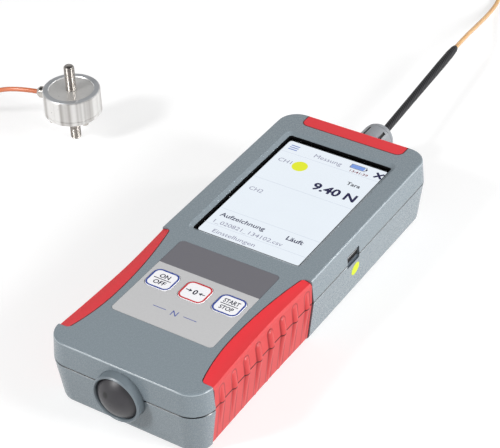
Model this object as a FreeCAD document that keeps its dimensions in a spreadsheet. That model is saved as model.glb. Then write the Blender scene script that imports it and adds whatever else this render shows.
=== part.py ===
import FreeCAD, Part
import math
import os
import re

import Sketcher

# Hand-held digital force gauge with an external button load cell on a thin cable.
# Millimetres. The origin is the centre of the rear face that the gauge lies on, +Z points
# up through the display, +Y towards the cable end and +X to the right of the display.

doc = FreeCAD.newDocument("ForceGauge")
sheet = doc.addObject("Spreadsheet::Sheet", "Sizes")

SIZES = [
    # housing
    ("HalfWidth", 36.0, "half width of the housing at the parting line"),
    ("HalfLength", 89.85, "half length of the housing at the parting line"),
    ("TopHeight", 31.0, "height of the top face above the rest face"),
    ("UpperDepth", 10.7, "height of the upper shell's wall"),
    ("PartingHeight", "=TopHeight-UpperDepth", "height where the two shells meet"),
    ("PartingGap", 0.25, "open line between the shells"),
    ("CornerRadius", 10.0, "corner radius of the housing in plan"),
    ("UpperDraft", 4.3, "draft of the upper walls in degrees"),
    ("FootInset", 2.6, "how far each lower wall leans in down to the rest face"),
    ("LowerDraft", "=atan(FootInset/PartingHeight)", "draft of the lower walls"),
    ("TopEdgeRadius", 0.9, "rounding of the top edge"),
    ("BottomEdgeRadius", 2.6, "rounding of the bottom edge"),
    ("PartingBevel", 0.35, "small bevel on both sides of the parting line"),
    ("SideWall", 2.4, "thickness of the side walls"),
    ("TopWall", 2.0, "thickness of the top wall"),
    ("FloorWall", 2.4, "thickness of the rear wall"),
    # side grips
    ("GripSetback", 9.65, "distance of the side grips from the front end wall"),
    ("GripFront", "=GripSetback-HalfLength", "front end of the side grips"),
    ("GripRear", -10.2, "rear end of the side grips"),
    ("WaistDepth", 9.6, "depth of the waist at its narrowest"),
    ("WaistFrontDepth", 6.0, "depth of the waist at its front end"),
    ("WaistRearDepth", 4.8, "depth of the waist at its rear end"),
    ("WaistBack", 26.2, "distance from the grip's front end to the narrowest place"),
    ("WaistX", "=HalfWidth-WaistDepth", "narrowest half width of the waist"),
    ("WaistY", "=GripFront+WaistBack", "where the waist is narrowest"),
    ("WaistFrontX", "=HalfWidth-WaistFrontDepth", "half width of the waist at its front end"),
    ("WaistRearX", "=HalfWidth-WaistRearDepth", "half width of the waist at its rear end"),
    ("WaistCorner", 2.5, "rounding of the corners of the waist"),
    ("GripSeam", 0.2, "open seam between the grips and the shells"),
    ("GripCrease", 2.1, "drop of the soft crease below the top face"),
    ("CreaseInset", 0.6, "inset of the crease from the housing at the grip's ends"),
    ("CreaseBow", 1.3, "how far the crease bows in"),
    ("LandInset", 0.6, "inset of the surface between the ribs at the grip's ends"),
    ("LandBow", 0.4, "how far that surface bows in"),
    ("GripLandX", "=HalfWidth-LandInset-LandBow", "grip surface between the ribs at the waist"),
    ("FootLean", 2.1, "lean of the grip surface below the parting line"),
    ("GripFoot", 0.6, "height of the bottom of the grips"),
    ("GripFootEdge", 0.9, "bevel at the bottom of the grips"),
    ("RibRadius", 2.15, "radius of a grip rib"),
    ("RibSink", 1.0, "depth of a rib's centre below the grip surface"),
    ("RibTopDrop", 4.8, "drop of a rib's dome centre below the top face"),
    ("RibTop", "=TopHeight-RibTopDrop", "height at which a rib's centre line ends in its dome"),
    ("RibFootSink", 1.15, "how much a rib sinks into the grip at its foot"),
    ("RibLean", 0.7, "lean of a rib's centre line above the parting line"),
    ("RibStart", 5.45, "distance of the first rib from the grip's front end"),
    ("RibEnd", 3.86, "distance of the last rib from the grip's rear end"),
    ("RibFirst", "=GripFront+RibStart", "place of the first rib"),
    ("RibPitch", "=(GripRear-RibEnd-RibFirst)/(RibCount-1)", "spacing of the ribs"),
    ("RibCount", 8, "ribs on each grip"),
    ("CavityGripX", "=WaistX-SideWall", "half width of the cavity between the grips"),
    # display
    ("WindowSide", 10.8, "housing beside the display window"),
    ("WindowEnd", 16.45, "housing behind the display window"),
    ("WindowX", "=HalfWidth-WindowSide", "half width of the display window"),
    ("WindowFront", -3.7, "front end of the display window"),
    ("WindowRear", "=HalfLength-WindowEnd", "rear end of the display window"),
    ("WindowCorner", 1.2, "corner radius of the display window"),
    ("WindowBevel", 1.8, "width of the bevel round the window"),
    ("WindowBevelDepth", 1.2, "depth of the bevel round the window"),
    ("GasketThick", 0.3, "thickness of the display gasket"),
    ("GasketLip", 0.35, "width of the gasket's lip inside the window"),
    ("GlassThick", 0.8, "thickness of the touch glass"),
    ("GlassSide", 2.4, "glass beyond the window at each side"),
    ("LcdSide", 2.8, "display module beyond the window at each side"),
    ("GlassX", "=WindowX+GlassSide", "half width of the touch glass"),
    ("GlassMargin", 3.0, "glass beyond the window at each end"),
    ("LcdThick", 3.4, "thickness of the display module"),
    ("LcdX", "=WindowX+LcdSide", "half width of the display module"),
    # keypad
    ("KeypadSide", 3.14, "housing between the overlay and the waist"),
    ("KeypadEdge", 1.76, "film beside the outer keys"),
    ("KeySpace", 3.5, "space between the keys"),
    ("KeypadX", "=WaistX-KeypadSide", "half width of the keypad overlay"),
    ("KeypadFront", -62.85, "front end of the keypad overlay"),
    ("KeypadRear", -14.0, "rear end of the keypad overlay"),
    ("KeypadCorner", 1.8, "corner radius of the keypad overlay"),
    ("KeypadThick", 0.55, "thickness of the keypad overlay"),
    ("KeypadRecess", 0.5, "depth of the recess for the overlay"),
    ("KeypadFit", 0.15, "clearance round the overlay"),
    ("KeyPitch", "=(KeypadX-KeypadEdge+KeySpace/2)/1.5", "spacing of the keys"),
    ("KeyRow", -38.85, "place of the row of keys"),
    ("KeyWidth", "=KeyPitch-KeySpace", "width of a key"),
    ("KeyLength", 11.0, "length of a key"),
    ("KeyCorner", 3.0, "corner radius of a key"),
    ("KeyThick", 1.1, "thickness of a key pad"),
    ("KeyProud", 0.25, "height of a key above the top face"),
    ("KeyGap", 0.2, "clearance round a key"),
    ("KeyTravel", 0.3, "travel of a key"),
    ("KeyUnder", 0.35, "free space under a key"),
    ("StemRadius", 2.0, "radius of a key's stem"),
    ("StemFit", 0.4, "clearance round a key's stem"),
    # rear bumper
    ("BumperSide", 11.0, "housing beside the rear bumper"),
    ("BumperReach", 8.65, "reach of the rear bumper over the top face"),
    ("BumperX", "=HalfWidth-BumperSide", "half width of the rear bumper"),
    ("BumperFront", "=HalfLength-BumperReach", "front edge of the rear bumper"),
    ("BumperThick", 1.5, "thickness of the rear bumper"),
    ("BumperDrop", 6.3, "height of the bumper on the end wall"),
    ("BumperCorner", 3.4, "corner radius of the rear bumper"),
    # front collar and its plug
    ("CollarDrop", 12.6, "distance of the collar's axis below the top face"),
    ("CollarHeight", "=TopHeight-CollarDrop", "height of the front collar's axis"),
    ("CollarRadius", 10.5, "outer radius of the front collar"),
    ("CollarBore", 9.35, "radius of the front collar's bore"),
    ("CollarProud", 3.6, "how far the collar stands out"),
    ("CollarFlange", 11.8, "radius of the collar's flange inside the wall"),
    ("CollarFlangeThick", 2.0, "thickness of the collar's flange"),
    ("CollarThroat", 6.0, "radius of the collar's rear bore"),
    ("CollarFit", 0.1, "clearance between collar and shells"),
    ("DomeHeight", 4.6, "rise of the dome on the blanking plug"),
    ("DomeSeat", 1.6, "depth of the dome's rim below the collar's lip"),
    # sockets
    ("SocketDrop", 14.5, "distance of the socket's axis below the top face"),
    ("SocketHeight", "=TopHeight-SocketDrop", "height of the sensor socket's axis"),
    ("SocketBarrel", 6.0, "radius of the socket's threaded barrel"),
    ("SocketFlange", 8.2, "radius of the socket's flange"),
    ("SocketFlangeThick", 2.1, "thickness of the socket's flange"),
    ("SocketNose", 5.2, "radius of the socket's outer barrel"),
    ("SocketNoseLength", 7.0, "length of the socket's outer barrel"),
    ("SocketBore", 4.2, "radius of the socket's bore"),
    ("SocketInner", 7.5, "length of the socket inside the wall"),
    ("SeatDepth", 1.5, "depth of the flat seat in the end wall"),
    ("NutFlats", 14.0, "width across the flats of the socket nut"),
    ("NutThick", 2.2, "thickness of the socket nut"),
    ("RingRadius", 7.3, "radius of the coupling ring"),
    ("RingBore", 6.25, "radius of the coupling ring's bore"),
    ("RingLength", 15.6, "length of the coupling ring"),
    ("RingGap", 0.4, "gap between the ring and the socket flange"),
    ("GrooveCount", 6, "finger grooves round the ring"),
    ("GrooveRadius", 0.75, "radius of a finger groove"),
    ("PlugFit", 0.05, "running clearance of the ring on the plug"),
    ("PlugCap", 4.8, "length of the plug's rear cap"),
    ("PlugCapEnd", 3.2, "radius of the plug's rear cap at its end"),
    ("SleeveBase", 1.75, "radius of the cable sleeve at the plug"),
    ("SleeveWide", 2.1, "radius of the cable sleeve near its tip"),
    ("SleeveTip", 1.35, "radius of the cable sleeve at its tip"),
    ("SleeveLength", 86.6, "length of the cable sleeve"),
    ("SleeveSide", -7.1, "sideways reach of the sleeve"),
    ("SleeveDrop", 2.8, "drop of the sleeve over its length"),
    ("UsbY", 21.5, "place of the data port along the housing"),
    ("UsbWidth", 7.8, "width of the data port's shell"),
    ("UsbSet", 0.7, "setback of the data port from the housing wall"),
    ("UsbSink", 1.6, "depth of the data port in the board's notch"),
    ("UsbFit", 0.15, "clearance of the data port in the board's notch"),
    ("UsbHeight", 2.5, "height of the data port's shell"),
    ("UsbLength", 9.2, "length of the data port's shell"),
    ("UsbSkin", 0.35, "sheet thickness of the data port's shell"),
    ("UsbOpening", 9.6, "width of the opening for the data port"),
    ("UsbRelief", 1.9, "height of the plug's relief in the lower shell"),
    ("UsbReliefDepth", 0.9, "depth of the plug's relief in the lower shell"),
    ("UsbHigh", 1.9, "opening above the underside of the board"),
    ("UsbOpeningLow", "=PartingHeight-UsbRelief", "lower edge of the relief below the port"),
    ("UsbOpeningHigh", "=BoardHeight+UsbHigh", "upper edge of the opening for the port"),
    # inner parts
    ("BoardDrop", 8.6, "distance of the board's underside below the top face"),
    ("BoardSide", 3.4, "distance of the board's edge from the housing's side"),
    ("BoardFit", 0.6, "clearance of the board beside the grips' backing"),
    ("BoardFrontGap", 6.2, "board edge behind the grips' front end"),
    ("BoardRearGap", 12.55, "board edge before the rear end"),
    ("BoardHeight", "=TopHeight-BoardDrop", "underside of the main board"),
    ("BoardThick", 1.6, "thickness of the main board"),
    ("BoardX", "=HalfWidth-BoardSide", "half width of the main board under the display"),
    ("BoardNeck", "=CavityGripX-BoardFit", "half width of the main board between the grips"),
    ("BoardFront", "=GripFront+BoardFrontGap", "front edge of the main board"),
    ("BoardStep", "=GripRear+SideWall+BoardFit", "where the main board gets wider"),
    ("BoardRear", "=HalfLength-BoardRearGap", "rear edge of the main board"),
    ("BoardBoss", 2.3, "radius of the board's bosses"),
    ("BossSide", 1.9, "rear board bosses from the board's side edge"),
    ("BossEnd", 11.3, "rear board bosses from the board's rear edge"),
    ("NeckBossSide", 3.1, "front board bosses from the board's side edge"),
    ("NeckBossEnd", 4.5, "front board bosses from the board's front edge"),
    ("SideBossX", "=BoardX-BossSide", "place of the rear pair of board bosses across"),
    ("SideBossY", "=BoardRear-BossEnd", "place of the rear pair of board bosses along"),
    ("NeckBossX", "=BoardNeck-NeckBossSide", "place of the front pair of board bosses across"),
    ("NeckBossY", "=BoardFront+NeckBossEnd", "place of the front pair of board bosses along"),
    ("SwitchSize", 6.0, "side of a key switch"),
    ("SwitchHeight", 3.2, "height of a key switch's case"),
    ("PlungerRadius", 1.6, "radius of a key switch's plunger"),
    ("BatterySide", 10.0, "space beside the battery pack"),
    ("BatteryEnd", 19.3, "battery pack before the board's rear edge"),
    ("BatteryRoom", 9.0, "free height between battery pack and board"),
    ("BatteryX", "=HalfWidth-BatterySide", "half width of the battery pack"),
    ("BatteryFront", 2.0, "front end of the battery pack"),
    ("BatteryRear", "=BoardRear-BatteryEnd", "rear end of the battery pack"),
    ("BatteryThick", "=BoardHeight-FloorWall-BatteryRoom", "thickness of the battery pack"),
    ("BatteryFit", 0.2, "clearance between the battery pack and its ribs"),
    ("CradleThick", 1.6, "thickness of the battery cradle's ribs"),
    ("CradleHeight", 6.0, "height of the battery cradle's ribs"),
    ("BuzzerRadius", 6.0, "radius of the buzzer"),
    ("BuzzerHeight", 4.0, "height of the buzzer"),
    ("BuzzerSide", 11.4, "buzzer's axis from the side edge of the board's neck"),
    ("BuzzerX", "=BuzzerSide-BoardNeck", "place of the buzzer across"),
    ("BuzzerBack", 16.0, "buzzer behind the board's front edge"),
    ("BuzzerY", "=BoardFront+BuzzerBack", "place of the buzzer along"),
    ("ShieldX", 12.0, "half width of the amplifier's screening can"),
    ("ShieldLength", 15.5, "length of the screening can"),
    ("ShieldEnd", 1.3, "screening can before the board's rear edge"),
    ("ShieldFront", "=ShieldRear-ShieldLength", "front end of the screening can"),
    ("ShieldRear", "=BoardRear-ShieldEnd", "rear end of the screening can"),
    ("ShieldHeight", 3.0, "height of the screening can"),
    # fasteners
    ("CaseFrontSide", 9.7, "front case screws from the housing's side"),
    ("CaseFrontEnd", 6.85, "front case screws from the front end"),
    ("CaseRearSide", 8.5, "rear case screws from the housing's side"),
    ("CaseRearEnd", 7.65, "rear case screws from the rear end"),
    ("CaseScrewFrontX", "=HalfWidth-CaseFrontSide", "front pair of case screws across"),
    ("CaseScrewFrontY", "=CaseFrontEnd-HalfLength", "front pair of case screws along"),
    ("CaseScrewRearX", "=HalfWidth-CaseRearSide", "rear pair of case screws across"),
    ("CaseScrewRearY", "=HalfLength-CaseRearEnd", "rear pair of case screws along"),
    ("CaseBoss", 4.2, "radius of the case screw bosses"),
    ("ScrewHead", 2.75, "radius of a case screw's head"),
    ("ScrewHeadHeight", 2.1, "height of a case screw's head"),
    ("ScrewShank", 1.25, "radius of a case screw's shank"),
    ("ScrewFit", 0.3, "clearance round a case screw"),
    ("ScrewSink", 2.9, "depth of a case screw's head below the rest face"),
    ("ScrewBite", 6.2, "length of a case screw in the upper boss"),
    ("StandSpanX", 25.0, "spacing of the test stand inserts across"),
    ("StandSpanY", 50.0, "spacing of the test stand inserts along"),
    ("StandY", -30.0, "centre of the test stand inserts"),
    ("InsertRadius", 2.1, "outer radius of a test stand insert"),
    ("InsertBore", 1.25, "bore of a test stand insert, for an M3 thread"),
    ("InsertLength", 6.0, "length of a test stand insert"),
    ("InsertBoss", 3.6, "radius of the boss round an insert"),
    # load cell
    ("CellX", -134.8, "load cell's axis across"),
    ("CellY", 59.2, "load cell's axis along"),
    ("CellRadius", 13.4, "radius of the load cell"),
    ("BaseStud", 14.4, "length of the lower stud below the base"),
    ("TopStud", 12.2, "length of the upper stud above the top"),
    ("StudRadius", 2.5, "radius of the studs, for an M5 thread"),
    ("StudRoot", 2.1, "radius of a stud where it sits in the load cell"),
    ("StudSeat", 5.0, "depth of a stud in the load cell"),
    ("StudFit", 0.02, "clearance of a stud in its thread"),
    ("CellHeight", 12.4, "height of the load cell between its faces"),
    ("BasePlate", 2.0, "thickness of the load cell's base plate"),
    ("RimWidth", 3.0, "width of the load cell's raised rim"),
    ("RimRise", 0.35, "rise of the rim above the membrane"),
    ("Membrane", 2.6, "thickness of the load cell's membrane"),
    ("CellWall", 4.2, "wall of the load cell"),
    ("ColumnRadius", 4.6, "radius of the load cell's centre column"),
    ("ColumnGap", 0.8, "gap under the centre column"),
    ("FacetRadius", 0.45, "edge rounding of the load cell"),
    ("CellScrewCircle", 10.9, "radius of the base screws' circle"),
    ("CellScrewHead", 1.6, "head radius of the base screws"),
    ("CellScrewProud", 1.3, "height of the base screws' heads"),
    ("CellScrewShank", 0.8, "shank radius of the base screws"),
    ("CellScrewDepth", 4.6, "depth of the base screws in the load cell"),
    ("CellScrewTurn", 66.0, "angle of the first base screw"),
    ("GlandAngle", 197.3, "direction of the cable gland"),
    ("GlandDrop", 3.9, "depth of the gland's axis below the top face"),
    ("GlandRadius", 2.75, "radius of the cable gland's nut"),
    ("GlandNeck", 1.5, "radius of the cable gland's neck"),
    ("GlandSeat", 13.0, "distance of the gland's seat from the axis"),
    ("GlandLength", 3.6, "length of the gland outside its seat"),
    ("GaugeThick", 0.3, "thickness of the strain gauge ring"),
    # cable
    ("CableRadius", 1.1, "radius of the sensor cable"),
    ("CoilX", -216.0, "centre of the stored coil across"),
    ("CoilY", 58.0, "centre of the stored coil along"),
    ("CoilRadius", 12.5, "radius of the coil at the middle of its turns"),
    ("CoilColumns", 3, "turns side by side in the coil"),
    ("CoilLayers", 4, "turns on top of each other in the coil"),
    ("TieThick", 0.4, "thickness of the coil's tie"),
    ("TieWidth", 4.0, "width of the coil's tie"),
]

for line, (alias, number, note) in enumerate(SIZES, start=1):
    sheet.set(f"A{line}", note)
    sheet.setAlias(f"B{line}", alias)
for line, (alias, number, note) in enumerate(SIZES, start=1):
    sheet.set(f"B{line}", str(number))
doc.recompute()

ALIASES = {alias for alias, _, _ in SIZES}
parts = {}


def bound(text):
    """An expression in plain names, with each size read from the sheet."""
    return re.sub(
        r"[A-Za-z]\w*",
        lambda word: f"Sizes.{word.group(0)}" if word.group(0) in ALIASES else word.group(0),
        str(text),
    )


def size(text):
    """The number that an expression has now."""
    return float(sheet.evalExpression(bound(text).replace("Sizes.", "")))


def tie(item, prop, text):
    """Binds one property of an object to an expression in the sheet's sizes."""
    item.setExpression(prop, bound(text))


def place(item, x="0", y="0", z="0"):
    """Binds the place of an object to three expressions."""
    tie(item, "Placement.Base.x", x)
    tie(item, "Placement.Base.y", y)
    tie(item, "Placement.Base.z", z)


def keep(item, label):
    """Names a finished sub-part."""
    item.Label = label
    parts[label] = item
    return item


def new_body(name):
    return doc.addObject("PartDesign::Body", name)


def origin_feature(body, role):
    return next(item for item in body.Origin.OriginFeatures if item.Role == role)


def new_sketch(body, name, plane="XY_Plane", offset="0"):
    """A sketch on one of the body's own planes, moved along the plane's normal.
    Sketches on XZ show X and Z, and their normal points towards -Y."""
    sketch = body.newObject("Sketcher::SketchObject", name)
    sketch.AttachmentSupport = [(origin_feature(body, plane), "")]
    sketch.MapMode = "FlatFace"
    tie(sketch, "AttachmentOffset.Base.z", offset)
    return sketch


def dimension(sketch, kind, text, *where):
    """A dimension bound to an expression; where is the constraint's geometry."""
    index = sketch.addConstraint(Sketcher.Constraint(kind, *where, size(text)))
    tie(sketch, f"Constraints[{index}]", text)


def polygon(sketch, corners):
    """A closed outline of straight lines through corners given as pairs of expressions."""
    points = [FreeCAD.Vector(size(x), size(y), 0) for x, y in corners]
    count = len(points)
    lines = [
        sketch.addGeometry(Part.LineSegment(points[k], points[(k + 1) % count]))
        for k in range(count)
    ]
    for k, (x, y) in enumerate(corners):
        sketch.addConstraint(Sketcher.Constraint("Coincident", lines[k - 1], 2, lines[k], 1))
        dimension(sketch, "DistanceX", x, -1, 1, lines[k], 1)
        dimension(sketch, "DistanceY", y, -1, 1, lines[k], 1)
    return sketch


def rectangle(sketch, left, right, low, high):
    return polygon(sketch, [(left, low), (right, low), (right, high), (left, high)])


def rounded(sketch, left, right, low, high, radius):
    """A rectangle with four equal tangent arcs at its corners."""
    x0, x1, y0, y1, r = (size(text) for text in (left, right, low, high, radius))
    vector = FreeCAD.Vector
    ends = [
        (vector(x0 + r, y0, 0), vector(x1 - r, y0, 0)),
        (vector(x1, y0 + r, 0), vector(x1, y1 - r, 0)),
        (vector(x1 - r, y1, 0), vector(x0 + r, y1, 0)),
        (vector(x0, y1 - r, 0), vector(x0, y0 + r, 0)),
    ]
    centres = [(x1 - r, y0 + r), (x1 - r, y1 - r), (x0 + r, y1 - r), (x0 + r, y0 + r)]
    lines = [sketch.addGeometry(Part.LineSegment(*pair)) for pair in ends]
    arcs = []
    for k, (x, y) in enumerate(centres):
        circle = Part.Circle(vector(x, y, 0), vector(0, 0, 1), r)
        start = math.radians(-90 + 90 * k)
        arcs.append(sketch.addGeometry(Part.ArcOfCircle(circle, start, start + math.pi / 2)))
    for k in range(4):
        sketch.addConstraint(Sketcher.Constraint("Tangent", lines[k], 2, arcs[k], 1))
        sketch.addConstraint(Sketcher.Constraint("Tangent", arcs[k], 2, lines[(k + 1) % 4], 1))
        sketch.addConstraint(Sketcher.Constraint("Vertical" if k % 2 else "Horizontal", lines[k]))
        if k:
            sketch.addConstraint(Sketcher.Constraint("Equal", arcs[0], arcs[k]))
    dimension(sketch, "DistanceY", low, -1, 1, lines[0], 1)
    dimension(sketch, "DistanceX", right, -1, 1, lines[1], 1)
    dimension(sketch, "DistanceY", high, -1, 1, lines[2], 1)
    dimension(sketch, "DistanceX", left, -1, 1, lines[3], 1)
    dimension(sketch, "Radius", radius, arcs[0])
    return sketch


def circles(sketch, *rings):
    """Full circles, each given as three expressions: centre x, centre y and radius."""
    for x, y, radius in rings:
        centre = FreeCAD.Vector(size(x), size(y), 0)
        ring = sketch.addGeometry(Part.Circle(centre, FreeCAD.Vector(0, 0, 1), size(radius)))
        dimension(sketch, "Radius", radius, ring)
        dimension(sketch, "DistanceX", x, -1, 1, ring, 3)
        dimension(sketch, "DistanceY", y, -1, 1, ring, 3)
    return sketch


def pad(body, sketch, length, down=False, taper=None):
    """Material from the sketch, along its normal or, with down, against it."""
    feature = body.newObject("PartDesign::Pad", f"{sketch.Name}Pad")
    feature.Profile = sketch
    feature.Reversed = down
    tie(feature, "Length", length)
    if taper:
        tie(feature, "TaperAngle", taper)
    sketch.Visibility = False
    return feature


def pocket(body, sketch, length, along=False, taper=None):
    """A cut from the sketch against its normal or, with along, along it."""
    feature = body.newObject("PartDesign::Pocket", f"{sketch.Name}Pocket")
    feature.Profile = sketch
    feature.Reversed = along
    tie(feature, "Length", length)
    if taper:
        tie(feature, "TaperAngle", taper)
    sketch.Visibility = False
    return feature


def turned(body, sketch, axis="Z_Axis"):
    """The sketch turned once round an axis of the body."""
    feature = body.newObject("PartDesign::Revolution", f"{sketch.Name}Turned")
    feature.Profile = sketch
    feature.ReferenceAxis = (origin_feature(body, axis), [""])
    feature.Angle = 360
    return feature


def edge_names(shape, test):
    return [f"Edge{k}" for k, edge in enumerate(shape.Edges, start=1) if test(edge)]


def level(height):
    """A test for edges that lie at one height."""
    return lambda edge: (
        abs(edge.BoundBox.ZMin - height) < 0.002 and abs(edge.BoundBox.ZMax - height) < 0.002
    )


def eased(body, kind, base, test, amount):
    """A fillet or chamfer on the base feature's edges that pass a test."""
    doc.recompute()
    feature = body.newObject(f"PartDesign::{kind}", f"{base.Name}{kind}")
    feature.Base = (base, edge_names(base.Shape, test))
    tie(feature, "Radius" if kind == "Fillet" else "Size", amount)
    return feature


def repeated(body, features, direction, length, count):
    """Equally spaced copies of features along an axis of the body."""
    doc.recompute()
    pattern = body.newObject("PartDesign::LinearPattern", f"{features[0].Name}Row")
    pattern.Originals = features
    pattern.Direction = (origin_feature(body, direction), [""])
    tie(pattern, "Length", length)
    tie(pattern, "Occurrences", count)
    body.Tip = pattern
    return pattern


def round_about(body, features, axis, count):
    """Equally spaced copies of features round an axis of the body."""
    doc.recompute()
    pattern = body.newObject("PartDesign::PolarPattern", f"{features[0].Name}Ring")
    pattern.Originals = features
    pattern.Axis = (origin_feature(body, axis), [""])
    pattern.Angle = 360
    tie(pattern, "Occurrences", count)
    body.Tip = pattern
    return pattern


def joined(name, *items):
    fusion = doc.addObject("Part::MultiFuse", name)
    fusion.Shapes = list(items)
    return fusion


def removed(name, base, tool):
    cut = doc.addObject("Part::Cut", name)
    cut.Base = base
    cut.Tool = tool
    return cut


def shared(name, base, tool):
    common = doc.addObject("Part::Common", name)
    common.Base = base
    common.Tool = tool
    return common


def cylinder(name, radius, height, x="0", y="0", z="0"):
    item = doc.addObject("Part::Cylinder", name)
    tie(item, "Radius", radius)
    tie(item, "Height", height)
    place(item, x, y, z)
    return item


def block(name, left, right, front, rear, low, high):
    item = doc.addObject("Part::Box", name)
    tie(item, "Length", f"({right})-({left})")
    tie(item, "Width", f"({rear})-({front})")
    tie(item, "Height", f"({high})-({low})")
    place(item, left, front, low)
    return item


def solids_of(name, items):
    """Several separate solids kept together as one sub-part."""
    group = doc.addObject("Part::Compound", name)
    group.Links = list(items)
    return group


# Levels that several parts share
CEILING = "(TopHeight-TopWall)"
LOWER_TOP = "(PartingHeight-PartingGap)"
BOARD_TOP = "(BoardHeight+BoardThick)"
GLASS_TOP = "(TopHeight-TopWall-GasketThick)"
LCD_TOP = "(TopHeight-TopWall-GasketThick-GlassThick-0.05)"
KEY_PLACES = [("on_off", "-KeyPitch"), ("zero", "0"), ("start_stop", "KeyPitch")]
CASE_SCREWS = [
    ("CaseScrewFrontX", "CaseScrewFrontY"),
    ("-CaseScrewFrontX", "CaseScrewFrontY"),
    ("CaseScrewRearX", "CaseScrewRearY"),
    ("-CaseScrewRearX", "CaseScrewRearY"),
]
BOARD_SCREWS = [
    ("NeckBossX", "NeckBossY"),
    ("-NeckBossX", "NeckBossY"),
    ("SideBossX", "SideBossY"),
    ("-SideBossX", "SideBossY"),
]
STAND_PLACES = [
    (f"{side}StandSpanX/2", f"StandY{end}StandSpanY/2") for side in ("", "-") for end in ("+", "-")
]


def waist_rise(y):
    """The waist's half width at a place along the housing: two arcs that meet at WaistY."""
    front = "((WaistFrontX-WaistX)^2+(GripFront-WaistY)^2)/(2*(WaistFrontX-WaistX))"
    rear = "((WaistRearX-WaistX)^2+(GripRear-WaistY)^2)/(2*(WaistRearX-WaistX))"
    radius = front if size(y) < size("WaistY") else rear
    return f"WaistX+({radius})-sqrt(({radius})^2-(({y})-WaistY)^2)"


def waist(sketch, side, reach="2", seam="0"):
    """The plan of one grip: two arcs that bow in to the waist, closed outside the housing.
    A seam moves the whole outline into the grip by that much."""
    vector = FreeCAD.Vector
    outer = f"HalfWidth+{reach}"
    front_end, rear_end = f"GripFront+{seam}", f"GripRear-{seam}"
    front, rear, narrow = size(front_end), size(rear_end), size("WaistY")
    low = vector(side * size(f"{waist_rise(front_end)}+{seam}"), front, 0)
    neck = vector(side * size(f"WaistX+{seam}"), narrow, 0)
    high = vector(side * size(f"{waist_rise(rear_end)}+{seam}"), rear, 0)
    bend_low = vector(
        side * size(waist_rise("(GripFront+WaistY)/2") + f"+{seam}"), (front + narrow) / 2, 0)
    bend_high = vector(
        side * size(waist_rise("(GripRear+WaistY)/2") + f"+{seam}"), (rear + narrow) / 2, 0)
    arc_low = sketch.addGeometry(Part.Arc(low, bend_low, neck))
    arc_high = sketch.addGeometry(Part.Arc(neck, bend_high, high))
    corner_low = vector(side * size(outer), front, 0)
    corner_high = vector(side * size(outer), rear, 0)
    end_high = sketch.addGeometry(Part.LineSegment(high, corner_high))
    outside = sketch.addGeometry(Part.LineSegment(corner_high, corner_low))
    end_low = sketch.addGeometry(Part.LineSegment(corner_low, low))
    # An arc of a circle runs anticlockwise, so its start and end depend on the side.
    first, last = (1, 2) if side < 0 else (2, 1)
    sketch.addConstraint(Sketcher.Constraint("Tangent", arc_low, last, arc_high, first))
    sketch.addConstraint(Sketcher.Constraint("Coincident", arc_high, last, end_high, 1))
    sketch.addConstraint(Sketcher.Constraint("Coincident", end_high, 2, outside, 1))
    sketch.addConstraint(Sketcher.Constraint("Coincident", outside, 2, end_low, 1))
    sketch.addConstraint(Sketcher.Constraint("Coincident", end_low, 2, arc_low, first))
    sketch.addConstraint(Sketcher.Constraint("Horizontal", end_high))
    sketch.addConstraint(Sketcher.Constraint("Vertical", outside))
    sketch.addConstraint(Sketcher.Constraint("Horizontal", end_low))
    sign = "-" if side < 0 else ""
    dimension(sketch, "DistanceX", f"{sign}(WaistX+{seam})", -1, 1, arc_high, first)
    dimension(sketch, "DistanceY", "WaistY", -1, 1, arc_high, first)
    dimension(sketch, "DistanceY", "WaistY", -1, 1, arc_high, 3)
    dimension(
        sketch, "DistanceX", f"{sign}({waist_rise(front_end)}+{seam})", -1, 1, end_low, 2)
    dimension(sketch, "DistanceY", front_end, -1, 1, end_low, 2)
    dimension(
        sketch, "DistanceX", f"{sign}({waist_rise(rear_end)}+{seam})", -1, 1, end_high, 1)
    dimension(sketch, "DistanceY", rear_end, -1, 1, end_high, 1)
    dimension(sketch, "DistanceX", f"{sign}({outer})", -1, 1, outside, 1)
    return sketch


def waist_corner(edge):
    """The upright edges where the waist meets the ends of a grip."""
    box = edge.BoundBox
    upright = box.ZLength > 3 and box.XLength < 0.01 and box.YLength < 0.01
    to_ends = (abs(box.YMin - size("GripFront")), abs(box.YMin - size("GripRear")))
    at_end = min(to_ends) < size("GripSeam") + 0.01
    return upright and at_end and abs(box.XMin) < size("GripLandX") - 1


# Upper shell: moulded ABS, open below, with the display window, the recess of the keypad and
# the two waists that the grips fill
body = new_body("UpperShell")
outline = rounded(
    new_sketch(body, "UpperOutline", offset="PartingHeight"),
    "-HalfWidth", "HalfWidth", "-HalfLength", "HalfLength", "CornerRadius",
)
walls = pad(body, outline, "TopHeight-PartingHeight", taper="-UpperDraft")
edged = eased(body, "Fillet", walls, level(size("TopHeight")), "TopEdgeRadius")
edged = eased(body, "Chamfer", edged, level(size("PartingHeight")), "PartingBevel")
hollow = rounded(
    new_sketch(body, "UpperHollow", offset="PartingHeight"),
    "-HalfWidth+SideWall", "HalfWidth-SideWall",
    "-HalfLength+SideWall", "HalfLength-SideWall", "CornerRadius-SideWall",
)
pocket(body, hollow, "TopHeight-PartingHeight-TopWall", along=True, taper="-UpperDraft")
for side, sign in (("Right", ""), ("Left", "-")):
    near, far = ("CavityGripX", "HalfWidth-SideWall/2") if not sign else (
        "-HalfWidth+SideWall/2", "-CavityGripX")
    backing = rectangle(
        new_sketch(body, f"UpperBacking{side}", offset="PartingHeight"),
        near, far, "GripFront-SideWall", "GripRear+SideWall",
    )
    pad(body, backing, "TopHeight-PartingHeight-TopWall/2")
bosses = new_sketch(body, "UpperBosses", offset="PartingHeight")
circles(bosses, *[(x, y, "CaseBoss-0.6") for x, y in CASE_SCREWS])
pad(body, bosses, "TopHeight-PartingHeight-TopWall/2")
board_bosses = new_sketch(body, "BoardBosses", offset=BOARD_TOP)
circles(board_bosses, *[(x, y, "BoardBoss") for x, y in BOARD_SCREWS])
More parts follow.
